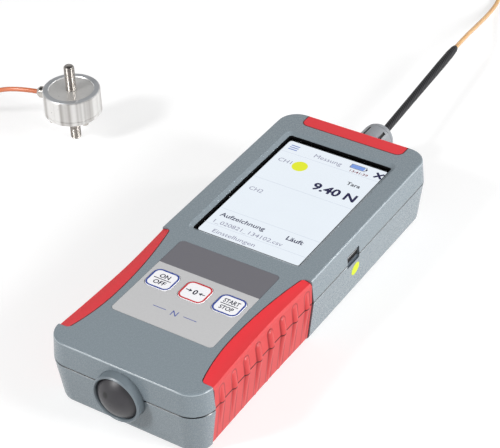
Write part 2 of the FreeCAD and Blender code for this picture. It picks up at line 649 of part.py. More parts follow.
pad(body, board_bosses, f"TopHeight-TopWall/2-{BOARD_TOP}")
pilots = new_sketch(body, "CasePilots", offset="PartingHeight")
circles(pilots, *[(x, y, "ScrewShank+PlugFit") for x, y in CASE_SCREWS])
pocket(body, pilots, "ScrewBite+0.6", along=True)
board_pilots = new_sketch(body, "BoardPilots", offset=BOARD_TOP)
circles(board_pilots, *[(x, y, "BoardBoss/3") for x, y in BOARD_SCREWS])
pocket(body, board_pilots, "3.8", along=True)
window = rounded(
    new_sketch(body, "Window", offset="TopHeight"),
    "-WindowX", "WindowX", "WindowFront", "WindowRear", "WindowCorner",
)
pocket(body, window, "TopWall+1")
bevel = rounded(
    new_sketch(body, "WindowBevel", offset="TopHeight"),
    "-WindowX-WindowBevel", "WindowX+WindowBevel",
    "WindowFront-WindowBevel", "WindowRear+WindowBevel", "WindowCorner+WindowBevel",
)
pocket(body, bevel, "WindowBevelDepth", taper="-atan(WindowBevel/WindowBevelDepth)")
recess = rounded(
    new_sketch(body, "KeypadSeat", offset="TopHeight"),
    "-KeypadX-KeypadFit", "KeypadX+KeypadFit",
    "KeypadFront-KeypadFit", "KeypadRear+KeypadFit", "KeypadCorner+KeypadFit",
)
pocket(body, recess, "KeypadRecess")
for name, x in KEY_PLACES:
    well = rounded(
        new_sketch(body, f"Well_{name}", offset="TopHeight"),
        f"{x}-KeyWidth/2-2*KeyGap", f"{x}+KeyWidth/2+2*KeyGap",
        "KeyRow-KeyLength/2-2*KeyGap", "KeyRow+KeyLength/2+2*KeyGap", "KeyCorner+2*KeyGap",
    )
    pocket(body, well, "KeyThick-KeyProud+KeyUnder")
stems = new_sketch(body, "StemHoles", offset="TopHeight")
circles(stems, *[(x, "KeyRow", "StemRadius+StemFit") for _, x in KEY_PLACES])
pocket(body, stems, "TopWall+1")
shelf = rounded(
    new_sketch(body, "BumperShelf", offset="TopHeight"),
    "-BumperX", "BumperX", "BumperFront", "HalfLength+2*BumperCorner", "BumperCorner",
)
pocket(body, shelf, "BumperThick")
step = rectangle(
    new_sketch(body, "BumperStep", offset="TopHeight"),
    "-BumperX", "BumperX", "HalfLength-BumperThick-0.6", "HalfLength+1",
)
pocket(body, step, "BumperDrop")
front_hole = circles(
    new_sketch(body, "UpperFrontHole", "XZ_Plane", "HalfLength+1"),
    ("0", "CollarHeight", "CollarRadius+CollarFit"),
)
pocket(body, front_hole, "SideWall+3")
rear_hole = circles(
    new_sketch(body, "UpperRearHole", "XZ_Plane", "-HalfLength-1"),
    ("0", "SocketHeight", "SocketBarrel+CollarFit"),
)
pocket(body, rear_hole, "SideWall+5", along=True)
rear_seat = circles(
    new_sketch(body, "UpperRearSeat", "XZ_Plane", "-HalfLength-1"),
    ("0", "SocketHeight", "SocketFlange+CollarFit"),
)
pocket(body, rear_seat, "1+SeatDepth", along=True)
port = rectangle(
    new_sketch(body, "UpperPort", "YZ_Plane", "HalfWidth+1"),
    "UsbY-UsbOpening/2", "UsbY+UsbOpening/2", "UsbOpeningLow", "UsbOpeningHigh",
)
pocket(body, port, "SideWall+3")
for side, number in (("Right", 1), ("Left", -1)):
    plan = waist(new_sketch(body, f"UpperWaist{side}", offset="TopHeight+1"), number)
    scooped = pocket(body, plan, "TopHeight-PartingHeight+2")
    eased(body, "Fillet", scooped, waist_corner, "WaistCorner")
keep(body, "upper_shell")

# Lower shell: moulded ABS, with bosses for the case screws and the test stand inserts and a
# cradle of ribs for the battery pack
body = new_body("LowerShell")
outline = rounded(
    new_sketch(body, "LowerOutline", offset=LOWER_TOP),
    "-HalfWidth", "HalfWidth", "-HalfLength", "HalfLength", "CornerRadius",
)
walls = pad(body, outline, LOWER_TOP, down=True, taper="-LowerDraft")
edged = eased(body, "Fillet", walls, level(0.0), "BottomEdgeRadius")
edged = eased(body, "Chamfer", edged, level(size(LOWER_TOP)), "PartingBevel")
hollow = rounded(
    new_sketch(body, "LowerHollow", offset=LOWER_TOP),
    "-HalfWidth+SideWall", "HalfWidth-SideWall",
    "-HalfLength+SideWall", "HalfLength-SideWall", "CornerRadius-SideWall",
)
pocket(body, hollow, f"{LOWER_TOP}-FloorWall", taper="-LowerDraft")
for side, sign in (("Right", ""), ("Left", "-")):
    lean = f"({LOWER_TOP}-FloorWall/2)*tan(LowerDraft)"
    near, far = (f"CavityGripX-{lean}", "HalfWidth-SideWall/2") if not sign else (
        "-HalfWidth+SideWall/2", f"-CavityGripX+{lean}")
    backing = rectangle(
        new_sketch(body, f"LowerBacking{side}", offset=LOWER_TOP),
        near, far, "GripFront-SideWall", "GripRear+SideWall",
    )
    pad(body, backing, f"{LOWER_TOP}-FloorWall/2", down=True, taper="-LowerDraft")
bosses = new_sketch(body, "LowerBosses", offset=LOWER_TOP)
circles(bosses, *[(x, y, "CaseBoss") for x, y in CASE_SCREWS])
pad(body, bosses, f"{LOWER_TOP}-FloorWall/2", down=True)
insert_bosses = new_sketch(body, "InsertBosses", offset="InsertLength+FloorWall")
circles(insert_bosses, *[(x, y, "InsertBoss") for x, y in STAND_PLACES])
pad(body, insert_bosses, "InsertLength+FloorWall/2", down=True)
cradle = new_sketch(body, "Cradle", offset="FloorWall+CradleHeight")
for front, rear in (
    ("BatteryFront-BatteryFit-CradleThick", "BatteryFront-BatteryFit"),
    ("BatteryRear+BatteryFit", "BatteryRear+BatteryFit+CradleThick"),
):
    rectangle(cradle, "-BatteryX", "BatteryX", front, rear)
for left, right in (
    ("-BatteryX-BatteryFit-CradleThick", "-BatteryX-BatteryFit"),
    ("BatteryX+BatteryFit", "BatteryX+BatteryFit+CradleThick"),
):
    rectangle(cradle, left, right, "BatteryFront+8", "BatteryRear-8")
pad(body, cradle, "CradleHeight+FloorWall/2", down=True)
heads = new_sketch(body, "HeadHoles")
circles(heads, *[(x, y, "ScrewHead+ScrewFit") for x, y in CASE_SCREWS])
pocket(body, heads, "ScrewSink+ScrewHeadHeight", along=True)
shanks = new_sketch(body, "ShankHoles")
circles(shanks, *[(x, y, "ScrewShank+ScrewFit") for x, y in CASE_SCREWS])
pocket(body, shanks, "PartingHeight+1", along=True)
insert_holes = new_sketch(body, "InsertHoles")
circles(insert_holes, *[(x, y, "InsertRadius") for x, y in STAND_PLACES])
pocket(body, insert_holes, "InsertLength+0.2", along=True)
front_hole = circles(
    new_sketch(body, "LowerFrontHole", "XZ_Plane", "HalfLength+1"),
    ("0", "CollarHeight", "CollarRadius+CollarFit"),
)
pocket(body, front_hole, "SideWall+3")
rear_hole = circles(
    new_sketch(body, "LowerRearHole", "XZ_Plane", "-HalfLength-1"),
    ("0", "SocketHeight", "SocketBarrel+CollarFit"),
)
pocket(body, rear_hole, "SideWall+5", along=True)
rear_seat = circles(
    new_sketch(body, "LowerRearSeat", "XZ_Plane", "-HalfLength-1"),
    ("0", "SocketHeight", "SocketFlange+CollarFit"),
)
pocket(body, rear_seat, "1+SeatDepth", along=True)
port = rectangle(
    new_sketch(body, "LowerPort", "YZ_Plane", "HalfWidth+1"),
    "UsbY-UsbOpening/2", "UsbY+UsbOpening/2", "UsbOpeningLow", "UsbOpeningHigh",
)
pocket(body, port, "1+UsbReliefDepth")
for side, number in (("Right", 1), ("Left", -1)):
    plan = waist(new_sketch(body, f"LowerWaist{side}", offset="PartingHeight+1"), number)
    scooped = pocket(body, plan, "PartingHeight+2")
    eased(body, "Fillet", scooped, waist_corner, "WaistCorner")
keep(body, "lower_shell")


# Side grips: soft red elastomer, each side in an upper and a lower half, with eight upright
# ribs. The form is lofted through sections across the gauge and trimmed to the waist's plan.
# Each section: its share of the grip's length, and how much of the inward bow it has.
GRIP_BOW = [
    (0, 0.05), (0.096, 0.23), (0.26, 0.62), (0.431, 0.88),
    (0.574, 1.0), (0.746, 0.77), (0.889, 0.38), (1, 0),
]


def grip_form(name, section):
    """The soft form of one grip half, lofted through its sections along the gauge."""
    body = new_body(name)
    stations = []
    for number, (share, bow) in enumerate(GRIP_BOW):
        along = f"GripFront+(GripRear-GripFront)*{share}"
        crease = f"(HalfWidth-CreaseInset-CreaseBow*{bow})"
        land = f"(HalfWidth-LandInset-LandBow*{bow})"
        station = new_sketch(body, f"{name}Station{number}", "XZ_Plane", f"-({along})")
        stations.append(polygon(station, section(along, crease, land)))
    loft = body.newObject("PartDesign::AdditiveLoft", f"{name}Loft")
    loft.Profile = stations[0]
    loft.Sections = stations[1:]
    return body


def ribs(body, name, low, high, dome):
    """Round ribs between two points across the gauge, repeated along the grip."""
    rings = [
        circles(new_sketch(body, f"{name}{end}", offset=height), (across_at, "RibFirst", "RibRadius"))
        for end, (across_at, height) in (("Low", low), ("High", high))
    ]
    rod = body.newObject("PartDesign::AdditiveLoft", f"{name}Rod")
    rod.Profile = rings[0]
    rod.Sections = [rings[1]]
    repeated(body, [rod], "Y_Axis", "RibPitch*(RibCount-1)", "RibCount")
    if dome:
        top = body.newObject("PartDesign::AdditiveSphere", f"{name}Dome")
        tie(top, "Radius", "RibRadius")
        place(top, high[0], "RibFirst", high[1])
        repeated(body, [top], "Y_Axis", "RibPitch*(RibCount-1)", "RibCount")


def grip_plan(name, low, high):
    """The block that one grip half fills, with its plan taken from the waist."""
    body = new_body(name)
    plan = waist(new_sketch(body, f"{name}Plan", offset=low), 1, "4", "GripSeam")
    block_pad = pad(body, plan, f"{high}-({low})")
    eased(body, "Fillet", block_pad, waist_corner, "WaistCorner")
    return body


upper_form = grip_form("UpperGripForm", lambda along, crease, land: [
    ("CavityGripX-4", "PartingHeight"),
    (f"{land}", "PartingHeight"),
    (f"{crease}+0.1", "TopHeight-GripCrease"),
    (f"{crease}-0.6", "TopHeight-GripCrease/2"),
    (waist_rise(along), "TopHeight"),
    ("CavityGripX-4", "TopHeight"),
])
ribs(
    upper_form, "UpperRib", ("GripLandX-RibSink+RibLean/4", "PartingHeight-1.5"),
    ("GripLandX-RibSink-RibLean", "RibTop"), dome=True,
)
upper_plan = grip_plan("UpperGripPlan", "PartingHeight", "(TopHeight+1)")
upper_grip = shared("UpperGrip", upper_form, upper_plan)
keep(upper_grip, "grip_right_upper")

lower_form = grip_form("LowerGripForm", lambda along, crease, land: [
    ("CavityGripX-4", LOWER_TOP),
    (f"{land}", LOWER_TOP),
    (f"{land}-FootLean*1.1", "GripFoot+GripFootEdge"),
    (f"{land}-FootLean*1.1-GripFootEdge", "GripFoot"),
    ("CavityGripX-4", "GripFoot"),
])
ribs(
    lower_form, "LowerRib", ("GripLandX-RibSink-FootLean*1.11-RibFootSink", "GripFoot+0.5"),
    ("GripLandX-RibSink+FootLean*0.088", f"({LOWER_TOP})+1.5"), dome=False,
)
lower_plan = grip_plan("LowerGripPlan", "0", LOWER_TOP)
lower_grip = shared("LowerGrip", lower_form, lower_plan)
keep(lower_grip, "grip_right_lower")

for half, source in (("upper", upper_grip), ("lower", lower_grip)):
    mirrored = doc.addObject("Part::Mirroring", f"LeftGrip{half.title()}")
    mirrored.Source = source
    mirrored.Normal = FreeCAD.Vector(1, 0, 0)
    keep(mirrored, f"grip_left_{half}")

# Rear bumper: the same red elastomer, a strip that wraps over the cable end's top edge
body = new_body("RearBumper")
strip = rounded(
    new_sketch(body, "BumperStrip", offset="TopHeight"),
    "-BumperX+GripSeam", "BumperX-GripSeam", "BumperFront+GripSeam",
    "HalfLength+2*BumperCorner", "BumperCorner-GripSeam",
)
pad(body, strip, "BumperThick", down=True)
leg = rectangle(
    new_sketch(body, "BumperLeg", offset="TopHeight"),
    "-BumperX+GripSeam", "BumperX-GripSeam", "HalfLength-BumperThick-0.55", "HalfLength+1",
)
pad(body, leg, "BumperDrop-GripSeam", down=True)
envelope = new_body("BumperEnvelope")
outline = rounded(
    new_sketch(envelope, "BumperOutline", offset="PartingHeight"),
    "-HalfWidth", "HalfWidth", "-HalfLength", "HalfLength", "CornerRadius",
)
walls = pad(envelope, outline, "TopHeight-PartingHeight", taper="-UpperDraft")
eased(envelope, "Fillet", walls, level(size("TopHeight")), "TopEdgeRadius")
keep(shared("Bumper", body, envelope), "rear_bumper")

# Display: a black foam gasket under the window, a cover glass and the display module
body = new_body("DisplayGasket")
frame = new_sketch(body, "GasketFrame", offset=CEILING)
rounded(frame, "-GlassX", "GlassX", "WindowFront-GlassMargin", "WindowRear+GlassMargin", "1.5")
inner_edge = (
    "-WindowX+GasketLip", "WindowX-GasketLip", "WindowFront+GasketLip", "WindowRear-GasketLip",
    "WindowCorner-GasketLip",
)
rounded(frame, *inner_edge)
pad(body, frame, "GasketThick", down=True)
lip = new_sketch(body, "GasketRim", offset=CEILING)
rounded(
    lip, "-WindowX+0.05", "WindowX-0.05", "WindowFront+0.05", "WindowRear-0.05",
    "WindowCorner-0.05",
)
rounded(lip, *inner_edge)
pad(body, lip, "TopWall-WindowBevelDepth-0.1")
keep(body, "display_gasket")

body = new_body("TouchGlass")
pane = rounded(
    new_sketch(body, "Pane", offset=GLASS_TOP),
    "-GlassX", "GlassX", "WindowFront-GlassMargin", "WindowRear+GlassMargin", "1.5",
)
pad(body, pane, "GlassThick", down=True)
keep(body, "touch_glass")

body = new_body("LcdModule")
panel = rectangle(
    new_sketch(body, "Panel", offset=LCD_TOP),
    "-LcdX", "LcdX", "WindowFront-GlassMargin", "WindowRear+GlassMargin",
)
pad(body, panel, "LcdThick", down=True)
tail = rectangle(
    new_sketch(body, "Tail", offset=f"{LCD_TOP}-LcdThick"),
    "-8", "8", "WindowFront", "WindowFront+12",
)
pad(body, tail, f"{LCD_TOP}-LcdThick-{BOARD_TOP}", down=True)
keep(body, "lcd_module")

# Keypad: printed overlay with three windows, three separate keys and their switches
body = new_body("KeypadOverlay")
sheet_plan = new_sketch(body, "OverlayPlan", offset="TopHeight-KeypadRecess")
rounded(sheet_plan, "-KeypadX", "KeypadX", "KeypadFront", "KeypadRear", "KeypadCorner")
for name, x in KEY_PLACES:
    rounded(
        sheet_plan,
        f"{x}-KeyWidth/2-KeyGap", f"{x}+KeyWidth/2+KeyGap",
        "KeyRow-KeyLength/2-KeyGap", "KeyRow+KeyLength/2+KeyGap", "KeyCorner+KeyGap",
    )
pad(body, sheet_plan, "KeypadThick")
keep(body, "keypad_overlay")

KEY_TOP = "(TopHeight+KeyProud)"
PLUNGER_TOP = f"({BOARD_TOP}+SwitchHeight+0.4)"
for name, x in KEY_PLACES:
    body = new_body(f"Key_{name}")
    cap = rounded(
        new_sketch(body, f"KeyCap_{name}", offset=KEY_TOP),
        f"{x}-KeyWidth/2", f"{x}+KeyWidth/2",
        "KeyRow-KeyLength/2", "KeyRow+KeyLength/2", "KeyCorner",
    )
    cap_pad = pad(body, cap, "KeyThick", down=True)
    eased(body, "Fillet", cap_pad, level(size(KEY_TOP)), "KeyProud")
    stem = circles(
        new_sketch(body, f"KeyStem_{name}", offset=f"{KEY_TOP}-KeyThick"),
        (x, "KeyRow", "StemRadius"),
    )
    pad(body, stem, f"{KEY_TOP}-KeyThick-({PLUNGER_TOP}+KeyUnder)", down=True)
    keep(body, f"key_{name}")

switches = []
for name, x in KEY_PLACES:
    case = block(
        f"SwitchCase_{name}", f"{x}-SwitchSize/2", f"{x}+SwitchSize/2",
        "KeyRow-SwitchSize/2", "KeyRow+SwitchSize/2", BOARD_TOP, f"{BOARD_TOP}+SwitchHeight",
    )
    plunger = cylinder(
        f"Plunger_{name}", "PlungerRadius", f"{PLUNGER_TOP}-{BOARD_TOP}-SwitchHeight/2",
        x, "KeyRow", f"{BOARD_TOP}+SwitchHeight/2",
    )
    switches.append(joined(f"Switch_{name}", case, plunger))
keep(solids_of("Switches", switches), "key_switches")

# Main board with its screws, buzzer, screening can and data port, which sits in a notch
USB_FRONT = "(HalfWidth-UsbSet)"
USB_LOW = "(BoardHeight-UsbSink)"
body = new_body("MainBoard")
board_plan = new_sketch(body, "BoardPlan", offset="BoardHeight")
polygon(board_plan, [
    ("-BoardNeck", "BoardFront"), ("BoardNeck", "BoardFront"), ("BoardNeck", "BoardStep"),
    ("BoardX", "BoardStep"),
    ("BoardX", "UsbY-UsbWidth/2-UsbFit"), (f"{USB_FRONT}-UsbLength-UsbFit", "UsbY-UsbWidth/2-UsbFit"),
    (f"{USB_FRONT}-UsbLength-UsbFit", "UsbY+UsbWidth/2+UsbFit"), ("BoardX", "UsbY+UsbWidth/2+UsbFit"),
    ("BoardX", "BoardRear"), ("-BoardX", "BoardRear"),
    ("-BoardX", "BoardStep"), ("-BoardNeck", "BoardStep"),
])
circles(board_plan, *[(x, y, "BoardBoss/3+0.2") for x, y in BOARD_SCREWS])
pad(body, board_plan, "BoardThick")
keep(body, "main_board")

board_screws = []
for number, (x, y) in enumerate(BOARD_SCREWS):
    head = cylinder(f"BoardHead{number}", "BoardBoss-0.4", "1.2", x, y, "BoardHeight-1.2")
    shank = cylinder(
        f"BoardShank{number}", "BoardBoss/3-0.02", "BoardThick+3.6", x, y, "BoardHeight-0.6")
    board_screws.append(joined(f"BoardScrew{number}", head, shank))
keep(solids_of("BoardScrews", board_screws), "board_screws")

buzzer_case = cylinder(
    "BuzzerCase", "BuzzerRadius", "BuzzerHeight", "BuzzerX", "BuzzerY",
    "BoardHeight-BuzzerHeight",
)
buzzer_port = cylinder(
    "BuzzerPort", "BuzzerRadius/5", "BuzzerHeight/2", "BuzzerX", "BuzzerY",
    "BoardHeight-BuzzerHeight-0.5",
)
keep(removed("Buzzer", buzzer_case, buzzer_port), "buzzer")

keep(
    block("Shield", "-ShieldX", "ShieldX", "ShieldFront", "ShieldRear",
          "BoardHeight-ShieldHeight", "BoardHeight"),
    "amplifier_shield",
)

body = new_body("DataPort")
port_case = rectangle(
    new_sketch(body, "PortCase", "YZ_Plane", USB_FRONT),
    "UsbY-UsbWidth/2", "UsbY+UsbWidth/2", USB_LOW, f"{USB_LOW}+UsbHeight",
)
pad(body, port_case, "UsbLength", down=True)
port_mouth = rectangle(
    new_sketch(body, "PortMouth", "YZ_Plane", USB_FRONT),
    "UsbY-UsbWidth/2+UsbSkin", "UsbY+UsbWidth/2-UsbSkin",
    f"{USB_LOW}+UsbSkin", f"{USB_LOW}+UsbHeight-UsbSkin",
)
pocket(body, port_mouth, "UsbLength-2")
tongue = rectangle(
    new_sketch(body, "PortTongue", "YZ_Plane", f"{USB_FRONT}-1"),
    "UsbY-UsbWidth/4", "UsbY+UsbWidth/4",
    f"{USB_LOW}+UsbHeight/2-0.3", f"{USB_LOW}+UsbHeight/2+0.3",
)
pad(body, tongue, "UsbLength-2", down=True)
keep(body, "data_port")

# Battery pack between the cradle's ribs
body = new_body("BatteryPack")
pack = rounded(
    new_sketch(body, "PackPlan", offset="FloorWall"),
    "-BatteryX", "BatteryX", "BatteryFront", "BatteryRear", "3",
)
pack_pad = pad(body, pack, "BatteryThick")
eased(body, "Fillet", pack_pad, level(size("FloorWall+BatteryThick")), "1.5")
keep(body, "battery_pack")

# Case screws, driven from the rear face into the upper shell's bosses
case_screws = []
for number, (x, y) in enumerate(CASE_SCREWS):
    head = cylinder(f"CaseHead{number}", "ScrewHead", "ScrewHeadHeight", x, y, "ScrewSink")
    drive = doc.addObject("Part::Prism", f"CaseDrive{number}")
    drive.Polygon = 6
    tie(drive, "Circumradius", "ScrewHead/2")
    tie(drive, "Height", "ScrewHeadHeight/2")
    place(drive, x, y, "ScrewSink-0.2")
    shank = cylinder(
        f"CaseShank{number}", "ScrewShank", "PartingHeight+ScrewBite-ScrewSink-1", x, y,
        "ScrewSink+1",
    )
    fused = joined(f"CaseScrewBlank{number}", head, shank)
    case_screws.append(removed(f"CaseScrew{number}", fused, drive))
keep(solids_of("CaseScrews", case_screws), "case_screws")

# Brass inserts for the test stand
inserts = []
for number, (x, y) in enumerate(STAND_PLACES):
    outer = cylinder(f"InsertOuter{number}", "InsertRadius", "InsertLength", x, y, "0.1")
    inner = cylinder(f"InsertInner{number}", "InsertBore", "InsertLength+1", x, y, "-0.4")
    inserts.append(removed(f"Insert{number}", outer, inner))
keep(solids_of("Inserts", inserts), "stand_inserts")


def across(item, height):
    """Turns a body made about its own Z axis so that it points along +Y at a height."""
    item.Placement = FreeCAD.Placement(
        FreeCAD.Vector(0, 0, 0), FreeCAD.Rotation(FreeCAD.Vector(1, 0, 0), -90))
    tie(item, "Placement.Base.z", height)
    return item


# Front collar and blanking plug, turned about an axis along Y. In these bodies the local
# height is the place along the gauge.
FLANGE_SEAT = (
    "(-HalfLength+SideWall+0.1+(CollarFlange+PartingHeight-CollarHeight)*tan(LowerDraft))"
)
body = new_body("FrontCollar")
collar = new_sketch(body, "CollarSection", "XZ_Plane")
polygon(collar, [
    ("CollarThroat", f"{FLANGE_SEAT}+CollarFlangeThick"),
    ("CollarThroat", "-HalfLength+0.6"),
    ("CollarBore", "-HalfLength+0.6"),
    ("CollarBore", "-HalfLength-CollarProud+0.5"),
    ("CollarBore+0.35", "-HalfLength-CollarProud"),
    ("CollarRadius-0.45", "-HalfLength-CollarProud"),
    ("CollarRadius", "-HalfLength-CollarProud+0.45"),
    ("CollarRadius", FLANGE_SEAT),
    ("CollarFlange", FLANGE_SEAT),
    ("CollarFlange", f"{FLANGE_SEAT}+CollarFlangeThick"),
])
turned(body, collar)
# Flats on the flange clear the ceiling of the upper shell and, in a thin housing, the floor.
flat = rectangle(
    new_sketch(body, "CollarFlat", offset=f"{FLANGE_SEAT}-0.5"),
    "-CollarFlange-1", "CollarFlange+1",
    "-CollarFlange-1", f"CollarHeight-{CEILING}+0.2",
)
rectangle(
    flat, "-CollarFlange-1", "CollarFlange+1",
    "CollarHeight-FloorWall-0.2", "CollarHeight-FloorWall+CollarFlange",
)
pocket(body, flat, "CollarFlangeThick+1", along=True)
keep(across(body, "CollarHeight"), "front_collar")

body = new_body("BlankingPlug")
plug = new_sketch(body, "PlugSection", "XZ_Plane")
rim, peak = size("CollarBore-0.1"), size("DomeHeight")
base_y = size("-HalfLength-CollarProud+DomeSeat")
dome_radius = (rim**2 + peak**2) / (2 * peak)
vector = FreeCAD.Vector
top_point, rim_point = vector(0, base_y - peak, 0), vector(rim, base_y, 0)
half_angle = math.asin(rim / dome_radius) / 2
middle = vector(
    dome_radius * math.sin(half_angle),
    base_y - peak + dome_radius * (1 - math.cos(half_angle)), 0)
dome = plug.addGeometry(Part.Arc(top_point, middle, rim_point))
corner_points = [
    ("CollarBore-0.1", "-HalfLength+0.5"),
    ("CollarThroat-0.1", "-HalfLength+0.5"),
    ("CollarThroat-0.1", f"{FLANGE_SEAT}+CollarFlangeThick+0.3"),
    ("0", f"{FLANGE_SEAT}+CollarFlangeThick+0.3"),
]
path = [rim_point] + [vector(size(x), size(y), 0) for x, y in corner_points] + [top_point]
lines = [
    plug.addGeometry(Part.LineSegment(path[k], path[k + 1])) for k in range(len(path) - 1)
]
for k in range(len(lines) - 1):
    plug.addConstraint(Sketcher.Constraint("Coincident", lines[k], 2, lines[k + 1], 1))
    dimension(plug, "DistanceX", corner_points[k][0], -1, 1, lines[k], 2)
    dimension(plug, "DistanceY", corner_points[k][1], -1, 1, lines[k], 2)
# The arc is anticlockwise, so it ends at the rim.
plug.addConstraint(Sketcher.Constraint("Coincident", dome, 2, lines[0], 1))
plug.addConstraint(Sketcher.Constraint("Coincident", lines[-1], 2, dome, 1))
plug.addConstraint(Sketcher.Constraint("Vertical", lines[0]))
plug.addConstraint(Sketcher.Constraint("PointOnObject", dome, 3, -2))
dimension(plug, "DistanceY", "-HalfLength-CollarProud+DomeSeat", -1, 1, lines[0], 1)
dimension(plug, "DistanceY", "-HalfLength-CollarProud+DomeSeat-DomeHeight", -1, 1, dome, 1)
turned(body, plug)
keep(across(body, "CollarHeight"), "blanking_plug")

# Sensor socket in the end wall, its nut, and the plug with its coupling ring
SEAT = "(HalfLength-SeatDepth)"
body = new_body("SensorSocket")
socket = new_sketch(body, "SocketSection", "XZ_Plane")
polygon(socket, [
    ("0", f"{SEAT}-SideWall-SocketInner"),
    ("SocketBarrel", f"{SEAT}-SideWall-SocketInner"),
    ("SocketBarrel", SEAT),
    ("SocketFlange", SEAT),
    ("SocketFlange", f"{SEAT}+SocketFlangeThick"),
    ("SocketNose", f"{SEAT}+SocketFlangeThick"),
    ("SocketNose", f"{SEAT}+SocketFlangeThick+SocketNoseLength"),
    ("SocketBore", f"{SEAT}+SocketFlangeThick+SocketNoseLength"),
    ("SocketBore", f"{SEAT}-SideWall"),
    ("0", f"{SEAT}-SideWall"),
])
turned(body, socket)
keep(across(body, "SocketHeight"), "sensor_socket")

WALL_INSIDE = (
    "(HalfLength-SideWall-0.05"
    "-(NutFlats/2/cos(30)+PartingHeight-SocketHeight)*tan(LowerDraft))"
)
nut_blank = doc.addObject("Part::Prism", "NutBlank")
nut_blank.Polygon = 6
tie(nut_blank, "Circumradius", "NutFlats/2/cos(30)")
tie(nut_blank, "Height", "NutThick")
nut_bore = cylinder("NutBore", "SocketBarrel+StudFit", "NutThick+2", z="-1")
nut = removed("Nut", nut_blank, nut_bore)
nut.Placement = FreeCAD.Placement(vector(0, 0, 0), FreeCAD.Rotation(vector(1, 0, 0), 90))
tie(nut, "Placement.Base.y", WALL_INSIDE)
tie(nut, "Placement.Base.z", "SocketHeight")
keep(nut, "socket_nut")

RING_FRONT = f"({SEAT}+SocketFlangeThick+RingGap)"
RING_REAR = f"({SEAT}+SocketFlangeThick+RingGap+RingLength)"
body = new_body("PlugBody")
shell = new_sketch(body, "PlugShell", "XZ_Plane")
polygon(shell, [
    ("0", f"{SEAT}-SideWall+1"),
    ("SocketBore-0.1", f"{SEAT}-SideWall+1"),
    ("SocketBore-0.1", f"{SEAT}+SocketFlangeThick+SocketNoseLength+0.2"),
    ("RingBore-PlugFit", f"{SEAT}+SocketFlangeThick+SocketNoseLength+0.2"),
    ("RingBore-PlugFit", f"{RING_REAR}+0.25"),
    ("RingRadius-0.05", f"{RING_REAR}+0.25"),
    ("RingRadius-0.25", f"{RING_REAR}+1.6"),
    ("RingRadius-1.1", f"{RING_REAR}+3.2"),
    ("PlugCapEnd+1.2", f"{RING_REAR}+PlugCap-0.4"),
    ("PlugCapEnd", f"{RING_REAR}+PlugCap"),
    ("0", f"{RING_REAR}+PlugCap"),
])
turned(body, shell)
keep(across(body, "SocketHeight"), "plug_body")

body = new_body("CouplingRing")
ring_section = new_sketch(body, "RingSection", "XZ_Plane")
polygon(ring_section, [
    ("RingBore", RING_FRONT),
    ("RingRadius-0.5", RING_FRONT),
    ("RingRadius", f"{RING_FRONT}+0.6"),
    ("RingRadius", RING_REAR),
    ("RingBore", RING_REAR),
])
turned(body, ring_section)
groove_ring = circles(
    new_sketch(body, "FingerGroove", offset=f"{RING_FRONT}+2"),
    ("(RingRadius+0.25)*cos(52)", "-(RingRadius+0.25)*sin(52)", "GrooveRadius"),
)
groove_cut = pocket(body, groove_ring, "RingLength-3.6", along=True)
round_about(body, [groove_cut], "Z_Axis", "GrooveCount")
keep(across(body, "SocketHeight"), "coupling_ring")

# Heat-shrunk sleeve over the cable, straight from the plug with a slight drop
PLUG_END = f"({RING_REAR}+PlugCap)"
body = new_body("CableSleeve")
sleeve = new_sketch(body, "SleeveSection", "XZ_Plane")
polygon(sleeve, [
    ("0", "0"),
    ("SleeveBase", "0"),
    ("SleeveBase+0.1", "SleeveLength*0.35"),
    ("SleeveWide", "SleeveLength*0.8"),
    ("SleeveWide-0.1", "SleeveLength-6.5"),
    ("SleeveTip+0.35", "SleeveLength-1.6"),
    ("SleeveTip", "SleeveLength"),
    ("0", "SleeveLength"),
])
turned(body, sleeve)
sleeve_start = vector(0, size(PLUG_END), size("SocketHeight"))
sleeve_aside = size("SleeveSide")
sleeve_down = size("SleeveDrop")
sleeve_reach = math.sqrt(size("SleeveLength") ** 2 - sleeve_aside**2 - sleeve_down**2)
sleeve_way = vector(sleeve_aside, sleeve_reach, -sleeve_down)
body.Placement = FreeCAD.Placement(
    sleeve_start, FreeCAD.Rotation(vector(0, 0, 1), sleeve_way))
tie(body, "Placement.Base.y", PLUG_END)
tie(body, "Placement.Base.z", "SocketHeight")
keep(body, "cable_sleeve")

# Load cell, standing on its lower stud. Its bodies are made about their own Z axis.
CELL_BASE = "BaseStud"
CELL_TOP = "(BaseStud+CellHeight)"
body = new_body("CellBody")
cell = new_sketch(body, "CellSection", "XZ_Plane")
polygon(cell, [
    ("0", f"{CELL_TOP}-RimRise"),
    ("0", "BaseStud+BasePlate+ColumnGap"),
    ("ColumnRadius", "BaseStud+BasePlate+ColumnGap"),
    ("ColumnRadius", f"{CELL_TOP}-RimRise-Membrane"),
    ("CellRadius-CellWall", f"{CELL_TOP}-RimRise-Membrane"),
    ("CellRadius-CellWall", "BaseStud+BasePlate+0.02"),
    ("CellRadius-0.2", "BaseStud+BasePlate+0.02"),
    ("CellRadius", "BaseStud+BasePlate+0.22"),
    ("CellRadius", f"{CELL_TOP}-FacetRadius"),
    ("CellRadius-FacetRadius", CELL_TOP),
    ("CellRadius-RimWidth+0.3", CELL_TOP),
    ("CellRadius-RimWidth", f"{CELL_TOP}-RimRise"),
])
turned(body, cell)
thread_top = circles(
    new_sketch(body, "TopThread", offset=CELL_TOP), ("0", "0", "StudRoot+StudFit"))
pocket(body, thread_top, "RimRise+StudSeat")
seat = circles(
    new_sketch(body, "GlandSpot", "YZ_Plane", "GlandSeat"),
    ("0", f"{CELL_TOP}-GlandDrop", "GlandRadius+0.3"),
)
pocket(body, seat, "3", along=True)
throat = circles(
    new_sketch(body, "GlandHole", "YZ_Plane", "GlandSeat"),
    ("0", f"{CELL_TOP}-GlandDrop", "GlandNeck+StudFit"),
)
pocket(body, throat, "GlandSeat-CellRadius+CellWall+1")
